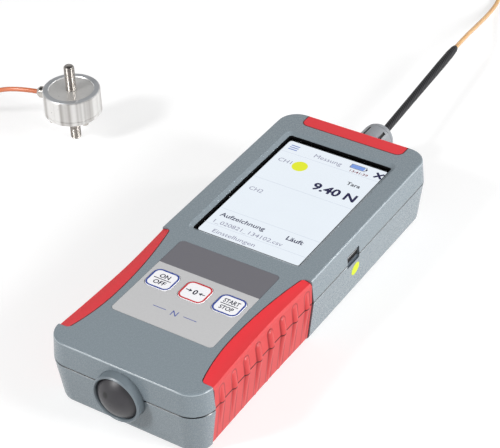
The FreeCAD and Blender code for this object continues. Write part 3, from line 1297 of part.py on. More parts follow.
screw_holes = circles(
    new_sketch(body, "BaseScrewHole", offset=CELL_BASE),
    ("CellScrewCircle*cos(CellScrewTurn-GlandAngle)",
     "CellScrewCircle*sin(CellScrewTurn-GlandAngle)", "CellScrewShank+StudFit"),
)
screw_cut = pocket(body, screw_holes, "BasePlate+CellScrewDepth", along=True)
round_about(body, [screw_cut], "Z_Axis", "4")


def at_cell(item, turn="GlandAngle"):
    """Stands a body on the load cell's axis, turned to the gland's direction."""
    item.Placement = FreeCAD.Placement(
        vector(0, 0, 0), FreeCAD.Rotation(vector(0, 0, 1), size(turn)))
    place(item, "CellX", "CellY", "0")
    tie(item, "Placement.Rotation.Angle", turn)
    return item


keep(at_cell(body), "cell_body")

body = new_body("CellBase")
base = circles(new_sketch(body, "BaseDisc", offset=CELL_BASE),
               ("0", "0", "CellRadius"), ("0", "0", "StudRoot+StudFit"))
base_pad = pad(body, base, "BasePlate")
eased(
    body, "Chamfer", base_pad,
    lambda edge: level(size(CELL_BASE))(edge) and edge.BoundBox.XLength > size("CellRadius"),
    "FacetRadius",
)
base_hole = circles(
    new_sketch(body, "BaseHole", offset=CELL_BASE),
    ("CellScrewCircle*cos(CellScrewTurn-GlandAngle)",
     "CellScrewCircle*sin(CellScrewTurn-GlandAngle)", "CellScrewShank+StudFit"),
)
base_cut = pocket(body, base_hole, "BasePlate", along=True)
round_about(body, [base_cut], "Z_Axis", "4")
keep(at_cell(body), "cell_base_plate")

body = new_body("TopStudBody")
stud = new_sketch(body, "TopStudSection", "XZ_Plane")
polygon(stud, [
    ("0", f"{CELL_TOP}-RimRise-StudSeat+0.1"),
    ("StudRoot", f"{CELL_TOP}-RimRise-StudSeat+0.1"),
    ("StudRoot", f"{CELL_TOP}-RimRise+StudFit"),
    ("StudRadius", f"{CELL_TOP}-RimRise+StudFit"),
    ("StudRadius", f"{CELL_TOP}+TopStud-0.6"),
    ("StudRadius-0.6", f"{CELL_TOP}+TopStud"),
    ("0", f"{CELL_TOP}+TopStud"),
])
turned(body, stud)
keep(at_cell(body), "cell_top_stud")

body = new_body("BaseStudBody")
stud = new_sketch(body, "BaseStudSection", "XZ_Plane")
polygon(stud, [
    ("0", "0"),
    ("StudRadius-0.6", "0"),
    ("StudRadius", "0.6"),
    ("StudRadius", "BaseStud-StudFit"),
    ("StudRoot", "BaseStud-StudFit"),
    ("StudRoot", "BaseStud+BasePlate"),
    ("0", "BaseStud+BasePlate"),
])
turned(body, stud)
keep(at_cell(body), "cell_base_stud")

cell_screws = []
for number in range(4):
    across_at = f"CellX+CellScrewCircle*cos(CellScrewTurn+{90 * number})"
    along_at = f"CellY+CellScrewCircle*sin(CellScrewTurn+{90 * number})"
    head = cylinder(
        f"CellHead{number}", "CellScrewHead", "CellScrewProud", across_at, along_at,
        "BaseStud-CellScrewProud",
    )
    shank = cylinder(
        f"CellShank{number}", "CellScrewShank", "CellScrewProud/2+BasePlate+CellScrewDepth-0.2",
        across_at, along_at, "BaseStud-CellScrewProud/2",
    )
    cell_screws.append(joined(f"CellScrew{number}", head, shank))
keep(solids_of("CellScrews", cell_screws), "cell_screws")

body = new_body("CellGland")
gland = new_sketch(body, "GlandSection", "XZ_Plane")
polygon(gland, [
    ("0", "GlandSeat-3"),
    ("GlandNeck", "GlandSeat-3"),
    ("GlandNeck", "GlandSeat"),
    ("GlandRadius", "GlandSeat"),
    ("GlandRadius", "GlandSeat+GlandLength-1.2"),
    ("GlandRadius-0.9", "GlandSeat+GlandLength"),
    ("0", "GlandSeat+GlandLength"),
])
turned(body, gland)
gland_turn = FreeCAD.Rotation(vector(0, 0, 1), vector(
    math.cos(math.radians(size("GlandAngle"))), math.sin(math.radians(size("GlandAngle"))), 0))
body.Placement = FreeCAD.Placement(vector(0, 0, 0), gland_turn)
place(body, "CellX", "CellY", f"{CELL_TOP}-GlandDrop")
keep(body, "cell_gland")

gauge_outer = cylinder(
    "GaugeOuter", "CellRadius-CellWall-0.3", "GaugeThick", "CellX", "CellY",
    f"{CELL_TOP}-RimRise-Membrane-GaugeThick",
)
gauge_inner = cylinder(
    "GaugeInner", "ColumnRadius+0.3", "GaugeThick+2", "CellX", "CellY",
    f"{CELL_TOP}-RimRise-Membrane-GaugeThick-1",
)
keep(removed("GaugeRing", gauge_outer, gauge_inner), "cell_gauge_ring")

# Sensor cable. Two free stretches of tube, and the stored length as one coil between them.
# The points are a route chosen by hand over the surface that the gauge lies on.
GAUGE_ROUTE = [
    (-7.1, 197.9, 13.7), (-8.8, 212.0, 11.9), (-11.2, 228.5, 8.2), (-14.2, 248.0, 3.6),
    (-16.8, 266.0, 1.2), (-21.0, 281.0, 1.1), (-36.0, 287.5, 1.1), (-62.0, 275.5, 1.1),
    (-103.0, 251.0, 1.1), (-150.0, 227.0, 1.1), (-198.0, 197.0, 1.1), (-235.0, 179.0, 1.1),
    (-254.0, 161.0, 1.1), (-257.0, 136.0, 1.1), (-246.0, 109.0, 1.1), (-234.0, 86.0, 1.2),
    (-230.7, 63.0, 1.5),
]
CELL_ROUTE = [
    (-150.67, 54.26, 22.9), (-159.6, 51.5, 23.2), (-171.0, 48.4, 20.6), (-181.5, 45.9, 13.6),
    (-194.0, 44.0, 8.6), (-211.0, 43.2, 8.1),
]


def tube(name, route, radius):
    """A round tube along straight runs that are joined by tangent arcs."""
    points = [vector(*point) for point in route]
    runs = [points[k + 1].sub(points[k]) for k in range(len(points) - 1)]
    edges = []
    start = points[0]
    length = 0.0
    radii = []
    for k in range(1, len(points) - 1):
        before, after = vector(runs[k - 1]), vector(runs[k])
        turning = before.getAngle(after)
        cut_back = 0.45 * min(runs[k - 1].Length, runs[k].Length)
        bend_radius = cut_back / math.tan(turning / 2)
        before.normalize()
        after.normalize()
        arc_start = points[k].sub(before * cut_back)
        arc_end = points[k].add(after * cut_back)
        inwards = after.sub(before)
        inwards.normalize()
        centre = points[k].add(inwards * (bend_radius / math.cos(turning / 2)))
        arc_middle = centre.sub(inwards * bend_radius)
        edges.append(Part.LineSegment(start, arc_start).toShape())
        edges.append(Part.Arc(arc_start, arc_middle, arc_end).toShape())
        length += arc_start.sub(start).Length + bend_radius * turning
        radii.append(round(bend_radius, 1))
        start = arc_end
    edges.append(Part.LineSegment(start, points[-1]).toShape())
    length += points[-1].sub(start).Length
    spine = Part.Wire(edges)
    ring = Part.Wire([Part.Circle(points[0], runs[0], radius).toShape()])
    shape = spine.makePipeShell([ring], True, True, 2)
    expected = math.pi * radius**2 * length
    print(f"{name}: {length:.1f} mm long, bend radii {radii}, volume ratio "
          f"{shape.Volume / expected:.4f}")
    item = doc.addObject("Part::Feature", name)
    item.Shape = shape
    return item


keep(tube("GaugeCable", GAUGE_ROUTE, size("CableRadius")), "cable_from_gauge")
keep(tube("CellCable", CELL_ROUTE, size("CableRadius")), "cable_from_cell")

COIL_HALF = "CableRadius*CoilColumns"
COIL_LOW = "TieThick"
COIL_HIGH = "TieThick+2*CableRadius*CoilLayers"
body = new_body("CableCoil")
coil_section = new_sketch(body, "CoilSection", "XZ_Plane")
rounded(
    coil_section, f"CoilRadius-{COIL_HALF}", f"CoilRadius+{COIL_HALF}", COIL_LOW, COIL_HIGH,
    "CableRadius",
)
turned(body, coil_section)
place(body, "CoilX", "CoilY", "0")
keep(body, "cable_coil")

# The coil's inner edge curves towards its centre across the width of the tie.
TIE_INSIDE = f"CoilX+sqrt((CoilRadius-{COIL_HALF})^2-(TieWidth/2)^2)-0.02"
tie_outer = block(
    "TieOuter", f"{TIE_INSIDE}-TieThick", f"CoilX+CoilRadius+{COIL_HALF}+TieThick",
    "CoilY-TieWidth/2", "CoilY+TieWidth/2", "0", f"{COIL_HIGH}+TieThick",
)
tie_inner = block(
    "TieInner", TIE_INSIDE, f"CoilX+CoilRadius+{COIL_HALF}+0.02",
    "CoilY-TieWidth", "CoilY+TieWidth", "TieThick", f"{COIL_HIGH}",
)
keep(removed("CoilTie", tie_outer, tie_inner), "coil_tie")

doc.recompute()

faults = []
for item in doc.Objects:
    if "Invalid" in item.State or "Error" in item.State:
        faults.append(f"{item.Name} is {item.State}")
for label, item in parts.items():
    if item.Shape.isNull() or not item.Shape.isValid() or not item.Shape.Solids:
        faults.append(f"{label} has no valid solid")
if faults:
    raise RuntimeError("; ".join(faults))

os.makedirs("parts", exist_ok=True)
for label, item in parts.items():
    item.Shape.exportStep(f"parts/{label}.step")
print(f"{len(parts)} sub-parts")
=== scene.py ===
import math

import bpy
import numpy as np
from mathutils import Matrix, Vector


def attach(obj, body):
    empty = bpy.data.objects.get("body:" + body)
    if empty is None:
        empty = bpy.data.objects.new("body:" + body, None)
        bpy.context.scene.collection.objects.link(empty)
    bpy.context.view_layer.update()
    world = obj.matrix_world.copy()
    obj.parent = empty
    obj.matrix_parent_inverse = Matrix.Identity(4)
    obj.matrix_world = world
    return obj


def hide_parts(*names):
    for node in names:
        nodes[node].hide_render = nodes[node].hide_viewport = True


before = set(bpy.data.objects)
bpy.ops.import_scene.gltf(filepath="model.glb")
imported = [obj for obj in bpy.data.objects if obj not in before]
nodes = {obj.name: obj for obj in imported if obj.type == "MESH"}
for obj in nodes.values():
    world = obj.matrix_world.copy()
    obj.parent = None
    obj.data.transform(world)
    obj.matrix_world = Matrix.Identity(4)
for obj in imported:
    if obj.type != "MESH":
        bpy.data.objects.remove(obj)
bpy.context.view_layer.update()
MM = 0.001

# Camera: a moderate telephoto view on the front end and the right side of the gauge, at the
# photograph's place. Its three axes are rows of its turn, and its place is in millimetres.
camera_data = bpy.data.cameras.new("camera")
camera_data.sensor_width = 36.0
camera_data.lens = 122.4
camera_data.clip_start = 0.02
camera_data.clip_end = 20.0
camera = bpy.data.objects.new("camera", camera_data)
bpy.context.scene.collection.objects.link(camera)
camera_right = Vector((0.8449, 0.5341, -0.0289))
camera_up = Vector((-0.3039, 0.5237, 0.7960))
camera_back = Vector((0.4403, -0.6637, 0.6047))
turn = Matrix((camera_right, camera_up, camera_back)).transposed()
camera.matrix_world = Matrix.Translation(Vector((298.6, -449.2, 448.3)) * MM) @ turn.to_4x4()
bpy.context.scene.camera = camera


def linear(hex_colour):
    """An sRGB hex colour as linear RGBA: the standard curve, a power of 2.4 above its toe."""
    values = np.array([int(hex_colour[k:k + 2], 16) for k in (1, 3, 5)]) / 255
    low, high = values / 12.92, ((values + 0.055) / 1.055) ** 2.4
    return (*np.where(values <= 0.04045, low, high).tolist(), 1.0)


def feed(made, *values, **named):
    """Gives a node's inputs a plain value or another node's output, in the order of the inputs
    or by name, with _ for a space. The names are those of the inputs that are in use."""
    in_use = {socket.name: socket for socket in made.inputs if socket.enabled}
    pairs = list(zip(made.inputs, values))
    pairs += [(in_use[key.replace("_", " ")], value) for key, value in named.items()]
    for socket, value in pairs:
        if isinstance(value, bpy.types.NodeSocket):
            made.id_data.links.new(value, socket)
        else:
            socket.default_value = value


def node(tree, kind, *values, take=0, **settings):
    """Adds a shader node, sets its properties, feeds its inputs with the other values and
    gives back the output that take names or numbers."""
    made = tree.nodes.new("ShaderNode" + kind)
    for key in [key for key in settings if hasattr(made, key)]:
        setattr(made, key, settings.pop(key))
    feed(made, *values, **settings)
    return made.outputs[take]


def material(name, **constants):
    """A new node material with constants on its shader's own inputs. It gives the material,
    its node tree and its shader."""
    made = bpy.data.materials.new(name)
    made.use_nodes = True
    shader = made.node_tree.nodes["Principled BSDF"]
    feed(shader, **constants)
    return made, made.node_tree, shader


def surface(name, scale, depth, base, spread, roughness, detail=3.0, **constants):
    """A material with grain from one noise in object coordinates: it varies the colour and the
    roughness a little and raises a bump. Scale is in cells per metre, and depth in metres. It
    gives the material, its node tree, its shader and the object coordinates."""
    made, tree, shader = material(name, **constants)
    place = node(tree, "TexCoord", take="Object")
    level = node(tree, "TexNoise", place, Scale=scale, Detail=detail, take="Fac")
    tint = node(tree, "Mix", Factor=level, A=linear(base), B=linear(spread), data_type="RGBA",
                take=2)
    rough = node(tree, "MapRange", level, To_Min=roughness - 0.05, To_Max=roughness + 0.05)
    bump = node(tree, "Bump", Height=level, Strength=1.0, Distance=depth)
    feed(shader, Base_Color=tint, Roughness=rough, Normal=bump)
    return made, tree, shader, place


def layered(tree, shader, colour, *masks):
    """Lays a colour over a shader's own where all masks are one. A mask can be a number."""
    mask = masks[0]
    for other in masks[1:]:
        mask = node(tree, "Math", mask, other, operation="MULTIPLY")
    own = shader.inputs["Base Color"].links[0].from_socket
    feed(shader, Base_Color=node(tree, "Mix", Factor=mask, A=own, B=linear(colour),
                                 data_type="RGBA", take=2))


def relief(tree, shader, height, distance, strength=1.0):
    """Raises a second pattern over a shader's own bump. Distance is in metres."""
    own = shader.inputs["Normal"].links[0].from_socket
    feed(shader, Normal=node(tree, "Bump", Height=height, Normal=own, Strength=strength,
                             Distance=distance))


def rising(tree, place, axis, start, end):
    """A mask that goes from zero to one between two places on an object axis, in metres."""
    along = node(tree, "SeparateXYZ", place, take=axis)
    return node(tree, "MapRange", along, From_Min=start, From_Max=end)


def from_box(tree, place, half, centre=(0.0, 0.0, 0.0)):
    """How far a point is from a box, given by its half sizes and its centre, in metres: zero
    inside it. Where a half size is zero the box is flat there, a line or a point."""
    away = node(tree, "VectorMath", place, centre, operation="SUBTRACT")
    away = node(tree, "VectorMath", away, operation="ABSOLUTE")
    away = node(tree, "VectorMath", away, half, operation="SUBTRACT")
    away = node(tree, "VectorMath", away, (0.0, 0.0, 0.0), operation="MAXIMUM")
    return node(tree, "VectorMath", away, operation="LENGTH", take="Value")


def outside(tree, place, reach, half, centre=(0.0, 0.0, 0.0)):
    """A mask that is one where a point is more than reach away from a box."""
    away = from_box(tree, place, half, centre)
    return node(tree, "Math", away, reach, operation="GREATER_THAN")


def seam(tree, shader, place, colour, core, reach):
    """A painted shadow line along the parting between the upper and the lower pieces, in the V
    of their bevels, 19.8 to 20.45 mm above the foot. It lies only where a point is more than
    reach away from an upright core, given by its half width and half length, so the mating faces
    keep their own colour."""
    layered(tree, shader, colour, rising(tree, place, "Z", 0.01981, 0.01987),
            rising(tree, place, "Z", 0.02045, 0.02039),
            outside(tree, place, reach, (*core, 1.0)))


def wear(names, finish):
    """CAD nodes take a finish in every material slot."""
    for name in names:
        for slot in nodes[name].material_slots:
            slot.material = finish


def placed(name, data, body="gauge"):
    """A piece made of a mesh or a curve, riding on a body."""
    piece = bpy.data.objects.new(name, data)
    bpy.context.scene.collection.objects.link(piece)
    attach(piece, body)
    return piece


def mesh_piece(name, vertices, faces, finish, body="gauge", smooth=False):
    """A piece from points in millimetres and the faces between them."""
    mesh = bpy.data.meshes.new(name)
    mesh.from_pydata((np.asarray(vertices) * MM).tolist(), [], [list(face) for face in faces])
    mesh.update()
    mesh.polygons.foreach_set("use_smooth", [smooth] * len(mesh.polygons))
    mesh.materials.append(finish)
    return placed(name, mesh, body)


# Sensor cable: two thin wires and their shield in a round amber jacket of clear PUR, extruded,
# 2.2 mm thick. It leaves the sleeve, runs round behind the gauge, is stored in a neat coil of
# eleven and a quarter turns and ends in the load cell's gland, all in one piece.
CABLE = 2.2
gauge_route = [
    (-7.1, 197.9, 13.7), (-8.8, 212.0, 11.9), (-11.2, 228.5, 8.2), (-14.2, 248.0, 3.6),
    (-16.8, 266.0, 1.2), (-21.0, 281.0, 1.1), (-36.0, 287.5, 1.1), (-62.0, 275.5, 1.1),
    (-103.0, 251.0, 1.1), (-150.0, 227.0, 1.1), (-198.0, 197.0, 1.1), (-235.0, 179.0, 1.1),
    (-254.0, 161.0, 1.1), (-257.0, 136.0, 1.1), (-246.0, 109.0, 1.1), (-234.0, 86.0, 1.2),
]
cell_route = [
    (-211.0, 43.2, 8.1), (-194.0, 44.0, 8.6), (-181.5, 45.9, 13.6), (-171.0, 48.4, 20.6),
    (-159.6, 51.5, 23.2), (-150.67, 54.26, 22.9),
]
COIL_X, COIL_Y, COIL_FOOT = -216.0, 58.0, 1.5
COIL_RADII, COIL_LAYERS, TURN_POINTS = (14.7, 12.5, 10.3), 4, 16


def coil_points():
    """The coil's turns: each lies in its own lane of radius and height. It changes to the next
    lane inside a short window of angle, and later layers change earlier, so none cross. The
    last lane holds a quarter turn."""
    lanes = [(radius, COIL_FOOT + CABLE * layer, layer) for layer in range(COIL_LAYERS)
             for radius in COIL_RADII[::1 if layer % 2 == 0 else -1]]
    turns = np.arange(0, len(lanes) - 0.75 + 1e-6, 1 / TURN_POINTS)
    radius, height = np.full(turns.shape, lanes[0][0]), np.full(turns.shape, lanes[0][1])
    change = 0.24
    for k in range(1, len(lanes)):
        climbs = lanes[k][2] != lanes[k - 1][2]
        window = 3 * change - change * lanes[k - 1][2] - (change / 2 if climbs else 0.0)
        share = np.clip((turns - (k - 1) - window) / change, 0, 1)
        share = share**2 * (3 - 2 * share)
        radius += share * (lanes[k][0] - lanes[k - 1][0])
        height += share * (lanes[k][1] - lanes[k - 1][1])
    angle = np.pi + 2 * np.pi * turns
    # The spline runs inside its control points, so they stand a little further out.
    radius = radius / (0.5 + 0.5 * math.cos(np.pi / TURN_POINTS))
    return np.stack([COIL_X + radius * np.cos(angle), COIL_Y + radius * np.sin(angle), height],
                    -1).tolist()


# One open NURBS spline follows the route. Each point's radius is the cable's own, over a bevel
# of one metre.
route = np.array(gauge_route + coil_points() + cell_route) * MM
curve = bpy.data.curves.new("sensor_cable", "CURVE")
curve.dimensions = "3D"
curve.resolution_u = 6
curve.bevel_depth = 1.0
curve.bevel_resolution = 4
curve.use_fill_caps = True
spline = curve.splines.new("NURBS")
spline.points.add(len(route) - 1)
spline.points.foreach_set("co", np.column_stack([route, np.ones(len(route))]).ravel())
spline.points.foreach_set("radius", [CABLE / 2 * MM] * len(route))
spline.order_u = 3
spline.use_endpoint_u = True
cable = placed("sensor_cable", curve)
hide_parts("cable_from_gauge", "cable_coil", "cable_from_cell")

# PUR jacket: extruded clear polyurethane with an amber tint over a tinned copper shield. It is
# glossy, tan at the gauge and more orange at the load cell.
jacket, tree, shader, place = surface(
    "amber_pur_jacket", 900.0, 0.00002, "#d8a262", "#e3b478", 0.32, Coat_Weight=0.4,
    Coat_Roughness=0.15, Subsurface_Weight=0.15, Subsurface_Radius=(0.002, 0.001, 0.0005))
layered(tree, shader, "#df7c50", rising(tree, place, "X", -0.06, -0.15))
curve.materials.append(jacket)

# Coil tie: a short band of black hook and loop fabric, wrapped once round the bundle.
tie_cloth = surface("black_hook_and_loop", 2500.0, 0.00012, "#131316", "#2a2a2e", 0.9)[0]
wear(["coil_tie"], tie_cloth)

# Housing shells: injection-moulded ABS in a blue-grey, with the fine even spark texture of the
# mould, which breaks up highlights. Grains are about 0.4 mm, drawn a little coarser than real.
# A painted highlight lightens a thin line along the top edge, and painted shade darkens the
# relief round the data port. A painted shadow line follows the parting.
HOUSING_CORE = (0.0260, 0.07985)
housing, tree, shader, place = surface(
    "moulded_abs_grey", 2600.0, 0.000008, "#818c93", "#869198", 0.27, detail=2.0, IOR=1.53)
# Painted shadow along the parting of the shells.
seam(tree, shader, place, "#0e1012", HOUSING_CORE, 0.0092)
# Painted highlight: a thin light line along the top edge's fillet.
layered(tree, shader, "#c3ced4", rising(tree, place, "Z", 0.03030, 0.03050),
        rising(tree, place, "Z", 0.03092, 0.03078),
        outside(tree, place, 0.0091, (*HOUSING_CORE, 1.0)), 0.8)
# Painted shade: the relief round the data port is darkened.
port_relief = from_box(tree, place, (0.0006, 0.0046, 0.0008), (0.0350, 0.0215, 0.0192))
layered(tree, shader, "#39424c",
        node(tree, "MapRange", port_relief, From_Min=0.0002, From_Max=0.0, To_Max=0.85))
wear(["upper_shell", "lower_shell"], housing)

# Front collar: the same ABS without texture, turned smooth at its lip. Its grey is drawn darker
# than the shells' as painted shade.
collar_finish = surface("smooth_abs_grey", 900.0, 0.00001, "#6f7a81", "#79838a", 0.35)[0]
wear(["front_collar"], collar_finish)

# Side grips and rear bumper: red thermoplastic elastomer, moulded in halves that sit in the
# waist of the shells. It is matt and slightly soft, so light spreads a little below its surface.
# Its upper faces are painted a brighter, purer red, painted light on the tops.
elastomer, tree, shader, place = surface(
    "red_tpe_elastomer", 1800.0, 0.00003, "#c6393c", "#d24242", 0.42, detail=2.0,
    Subsurface_Weight=0.04, Subsurface_Radius=(0.002, 0.0006, 0.0004))
# Painted light: the upper faces are drawn a brighter red.
layered(tree, shader, "#e2353d", rising(tree, place, "Z", 0.0290, 0.0306))
across, along, up = node(tree, "SeparateXYZ", place, take=slice(0, 3))
across = node(tree, "Math", across, operation="ABSOLUTE")

# Painted shade darkens the corners beside each rib of the grips, in a line round its domed end.
# The distance is taken from the rib's middle line, which stops below the end.
FIRST_RIB, RIB_PITCH, RIB_END, GRIP_FACE = -0.07475, 0.00867, 0.0262, 0.0322
beside = node(tree, "Math", along, -FIRST_RIB, operation="ADD")
beside = node(tree, "Math", beside, RIB_PITCH / 2, operation="PINGPONG")
above = node(tree, "Math", up, RIB_END, operation="SUBTRACT")
above = node(tree, "Math", above, 0.0, operation="MAXIMUM")
reach = node(tree, "CombineXYZ", beside, above)
reach = node(tree, "VectorMath", reach, operation="LENGTH", take="Value")
layered(tree, shader, "#8c1c22",
        node(tree, "MapRange", reach, From_Min=0.00135, From_Max=0.00195),
        node(tree, "MapRange", reach, From_Min=0.00235, From_Max=0.00205, To_Max=0.75),
        node(tree, "Math", across, GRIP_FACE, operation="GREATER_THAN"))
# Painted shadow along the parting of the grips.
seam(tree, shader, place, "#3c090c", (0.0343, 0.0900), 0.0)

# A thin painted shadow lies in the gap round each grip and round the bumper. The grips' inner
# edge follows the two arcs of the waist, which meet where it is narrowest.
WAIST_Y, WAIST_X, GAP_LINE = -0.0540, 0.0264, 0.00048
FRONT_ARC, REAR_ARC = 0.12354, 0.22864
behind = node(tree, "Math", along, -WAIST_Y, operation="ADD")
centre = node(tree, "Math", behind, 0.0, operation="GREATER_THAN")
centre = node(tree, "Math", centre, REAR_ARC - FRONT_ARC, FRONT_ARC, operation="MULTIPLY_ADD")
aside = node(tree, "Math", centre, across, operation="SUBTRACT")
span = node(tree, "CombineXYZ", aside, behind)
span = node(tree, "VectorMath", span, operation="LENGTH", take="Value")
inward = node(tree, "Math", centre, span, operation="SUBTRACT")
inward = node(tree, "Math", inward, WAIST_X + GAP_LINE, operation="LESS_THAN")
ends = outside(tree, place, 0.0, (1.0, 0.0345, 1.0), (0.0, -0.0452, 0.0))
layered(tree, shader, "#2a0a0d", node(tree, "Math", inward, ends, operation="MAXIMUM"),
        node(tree, "Math", along, 0.0, operation="LESS_THAN"), 0.8)
layered(tree, shader, "#2a0a0d",
        outside(tree, place, 0.00292, (0.0216, 0.0052, 1.0), (0.0, 0.0898, 0.0)),
        node(tree, "Math", along, 0.0, operation="GREATER_THAN"), 0.8)
wear(["grip_right_upper", "grip_right_lower", "grip_left_upper", "grip_left_lower",
      "rear_bumper"], elastomer)

# Display gasket: black closed-cell foam with a lip up the window's edge, which swallows light.
foam = surface("black_foam", 3000.0, 0.00005, "#020203", "#08080a", 0.9,
               Specular_IOR_Level=0.1)[0]
wear(["display_gasket"], foam)

# Cover glass: clear float glass, polished and with an anti-reflective coating, which the lower
# index stands for, over the display module.
glass = material("clear_float_glass", Base_Color=linear("#ffffff"), Roughness=0.02, IOR=1.3,
                 Transmission_Weight=1.0)[0]
wear(["touch_glass"], glass)

# Display module: a black plastic frame and backlight tray behind the panel.
tray = surface("black_pc_tray", 1500.0, 0.00002, "#0b0b0d", "#17171a", 0.5)[0]
wear(["lcd_module"], tray)


def rounded_loop(left, right, low, high, radius, per_corner=8):
    """Points of a rounded rectangle: a quarter circle swept about each corner's centre."""
    quarter = np.linspace(0, np.pi / 2, per_corner)
    angles = (quarter[None, :] + (np.pi / 2 * np.arange(4))[:, None]).ravel()
    centre_x = np.repeat([right - radius, left + radius, left + radius, right - radius],
                         per_corner)
    centre_y = np.repeat([high - radius, high - radius, low + radius, low + radius], per_corner)
    return np.stack([centre_x + radius * np.cos(angles), centre_y + radius * np.sin(angles)], -1)


def circle(x, y, radius, count):
    """Points spread evenly round a circle."""
    angle = np.linspace(0, 2 * np.pi, count, endpoint=False)
    return np.stack([x + radius * np.cos(angle), y + radius * np.sin(angle)], -1)


def at_height(loop, height):
    """Plan points at one height."""
    return np.column_stack([loop, np.full(len(loop), height)])


def plate(name, loop, height, finish, body="gauge"):
    """A flat printed area bounded by one loop, facing up."""
    return mesh_piece(name, at_height(loop, height), [range(len(loop))], finish, body)


def band(name, outer, inner, height, finish, body="gauge"):
    """A flat printed ring between two loops with the same number of points, facing up."""
    now, after = np.arange(len(outer)), (np.arange(len(outer)) + 1) % len(outer)
    faces = np.stack([now, after, after + len(outer), now + len(outer)], -1)
    return mesh_piece(name, np.vstack([at_height(outer, height), at_height(inner, height)]),
                      faces, finish, body)


def words(name, text, centre, height, finish, where, body="gauge", width=None, weight=0.0):
    """Flat lettering: the font's outline as a mesh, fitted to a cap height and a width in
    millimetres, centred on a point in plan and laid at one height. The font's capitals are
    0.73 high."""
    outline = bpy.data.curves.new(name, "FONT")
    outline.body = text
    outline.offset = weight
    outline.resolution_u = 3
    holder = bpy.data.objects.new(name, outline)
    bpy.context.scene.collection.objects.link(holder)
    bpy.context.view_layer.update()
    mesh = bpy.data.meshes.new_from_object(
        holder.evaluated_get(bpy.context.evaluated_depsgraph_get()))
    bpy.data.objects.remove(holder)
    flat = np.zeros(len(mesh.vertices) * 3)
    mesh.vertices.foreach_get("co", flat)
    flat = flat.reshape(-1, 3)
    low, high = flat.min(0), flat.max(0)
    up = height / 0.73
    along = width / (high[0] - low[0]) if width else up
    flat[:, 0] = centre[0] + (flat[:, 0] - (low[0] + high[0]) / 2) * along
    flat[:, 1] = centre[1] + flat[:, 1] * up - height / 2
    flat[:, 2] = where
    mesh.vertices.foreach_set("co", (flat * MM).ravel())
    mesh.name = name
    mesh.materials.clear()
    mesh.materials.append(finish)
    mesh.update()
    return placed(name, mesh, body)


def ink(name, colour, roughness=0.6):
    """A thin even print: one colour with a faint mottle from the screen."""
    dark = "#" + "".join(f"{int(int(colour[k:k + 2], 16) * 0.93):02x}" for k in (1, 3, 5))
    return surface(name, 1500.0, 0.000002, dark, colour, roughness)[0]


def lit(name, colour):
    """A backlit area of the display: it gives off its own colour and reflects next to none."""
    made, tree, shader = material(name, Base_Color=(0.0, 0.0, 0.0, 1.0), Roughness=0.9,
                                  Specular_IOR_Level=0.0, Emission_Strength=1.0)
    place = node(tree, "TexCoord", take="Object")
    level = node(tree, "TexNoise", place, Scale=60.0, Detail=1.0, take="Fac")
    bright = linear(colour)
    dim = (*(0.97 * part for part in bright[:3]), 1.0)
    feed(shader, Emission_Color=node(tree, "Mix", Factor=level, A=bright, B=dim,
                                     data_type="RGBA", take=2))
    return made


# Screen border: black ink printed on the underside of the cover glass, open over the panel.
GLASS_UNDER, PANEL_TOP = 27.9, 27.85
band("screen_border", rounded_loop(-27.5, 27.5, -6.5, 76.2, 1.4),
     rounded_loop(-24.1, 24.5, -1.9, 71.7, 1.4), GLASS_UNDER - 0.01,
     ink("black_glass_ink", "#0a0a0c", 0.4))

# Screen image: the colour panel shows a reading page with two channels, a recording line and a
# settings line. The page is backlit, and its letters are dark areas of the same panel.
plate("screen_page", rounded_loop(-25.5, 25.5, -3.0, 73.0, 0.5), PANEL_TOP + 0.005,
      lit("panel_white", "#eff7ff"))
SCREEN_INK = PANEL_TOP + 0.015
navy, grey_blue = lit("panel_navy", "#0d0b45"), lit("panel_grey_blue", "#8f8fa8")
near_black, pale_line = lit("panel_black", "#14142a"), lit("panel_line", "#c9d2e2")
for name, text, x, y, height, width, colour, weight in [
    ("title", "Messung", -2.4, 67.1, 2.7, 13.4, grey_blue, 0.0),
    ("channel_1", "CH1", -18.2, 57.5, 2.6, 6.4, grey_blue, 0.0),
    ("tare", "Tara", 16.0, 56.6, 2.3, 6.4, near_black, 0.02),
    ("reading", "9.40 N", 11.6, 48.2, 5.0, 20.4, navy, 0.032),
    ("channel_2", "CH2", -17.8, 33.5, 2.6, 6.4, grey_blue, 0.0),
    ("recording", "Aufzeichnung", -10.7, 11.9, 2.6, 21.4, navy, 0.014),
    ("running", "Läuft", 14.4, 11.7, 2.6, 7.8, navy, 0.02),
    ("number_row", "1_020821_134102.csv", -4.9, 6.7, 2.4, 32.8, grey_blue, 0.0),
    ("settings", "Einstellungen", -8.0, 0.9, 2.4, 20.2, grey_blue, 0.0),
    ("time", "13:41:39", 13.6, 65.2, 1.5, 8.6, lit("panel_red", "#7c2438"), 0.015),
]:
    words(f"screen_{name}", text, (x, y), height, colour, SCREEN_INK, width=width,
          weight=weight)
for number, y in enumerate((63.6, 41.4, 15.6, 4.3)):
    plate(f"screen_line_{number}", rounded_loop(-23.6, 23.6, y - 0.08, y + 0.08, 0.05, 2),
          SCREEN_INK, pale_line)
plate("screen_dot", circle(-10.6, 56.9, 3.5, 48), SCREEN_INK, lit("panel_yellow", "#e9f020"))
plate("screen_battery", rounded_loop(8.2, 14.6, 67.3, 69.7, 0.2, 4), SCREEN_INK,
      lit("panel_battery", "#7b9fe6"))
band("screen_battery_edge", rounded_loop(7.9, 15.4, 67.0, 70.0, 0.4, 4),
     rounded_loop(8.15, 15.15, 67.25, 69.75, 0.3, 4), SCREEN_INK + 0.003, navy)
plate("screen_battery_tip", rounded_loop(15.4, 15.9, 67.9, 69.1, 0.1, 2), SCREEN_INK, navy)
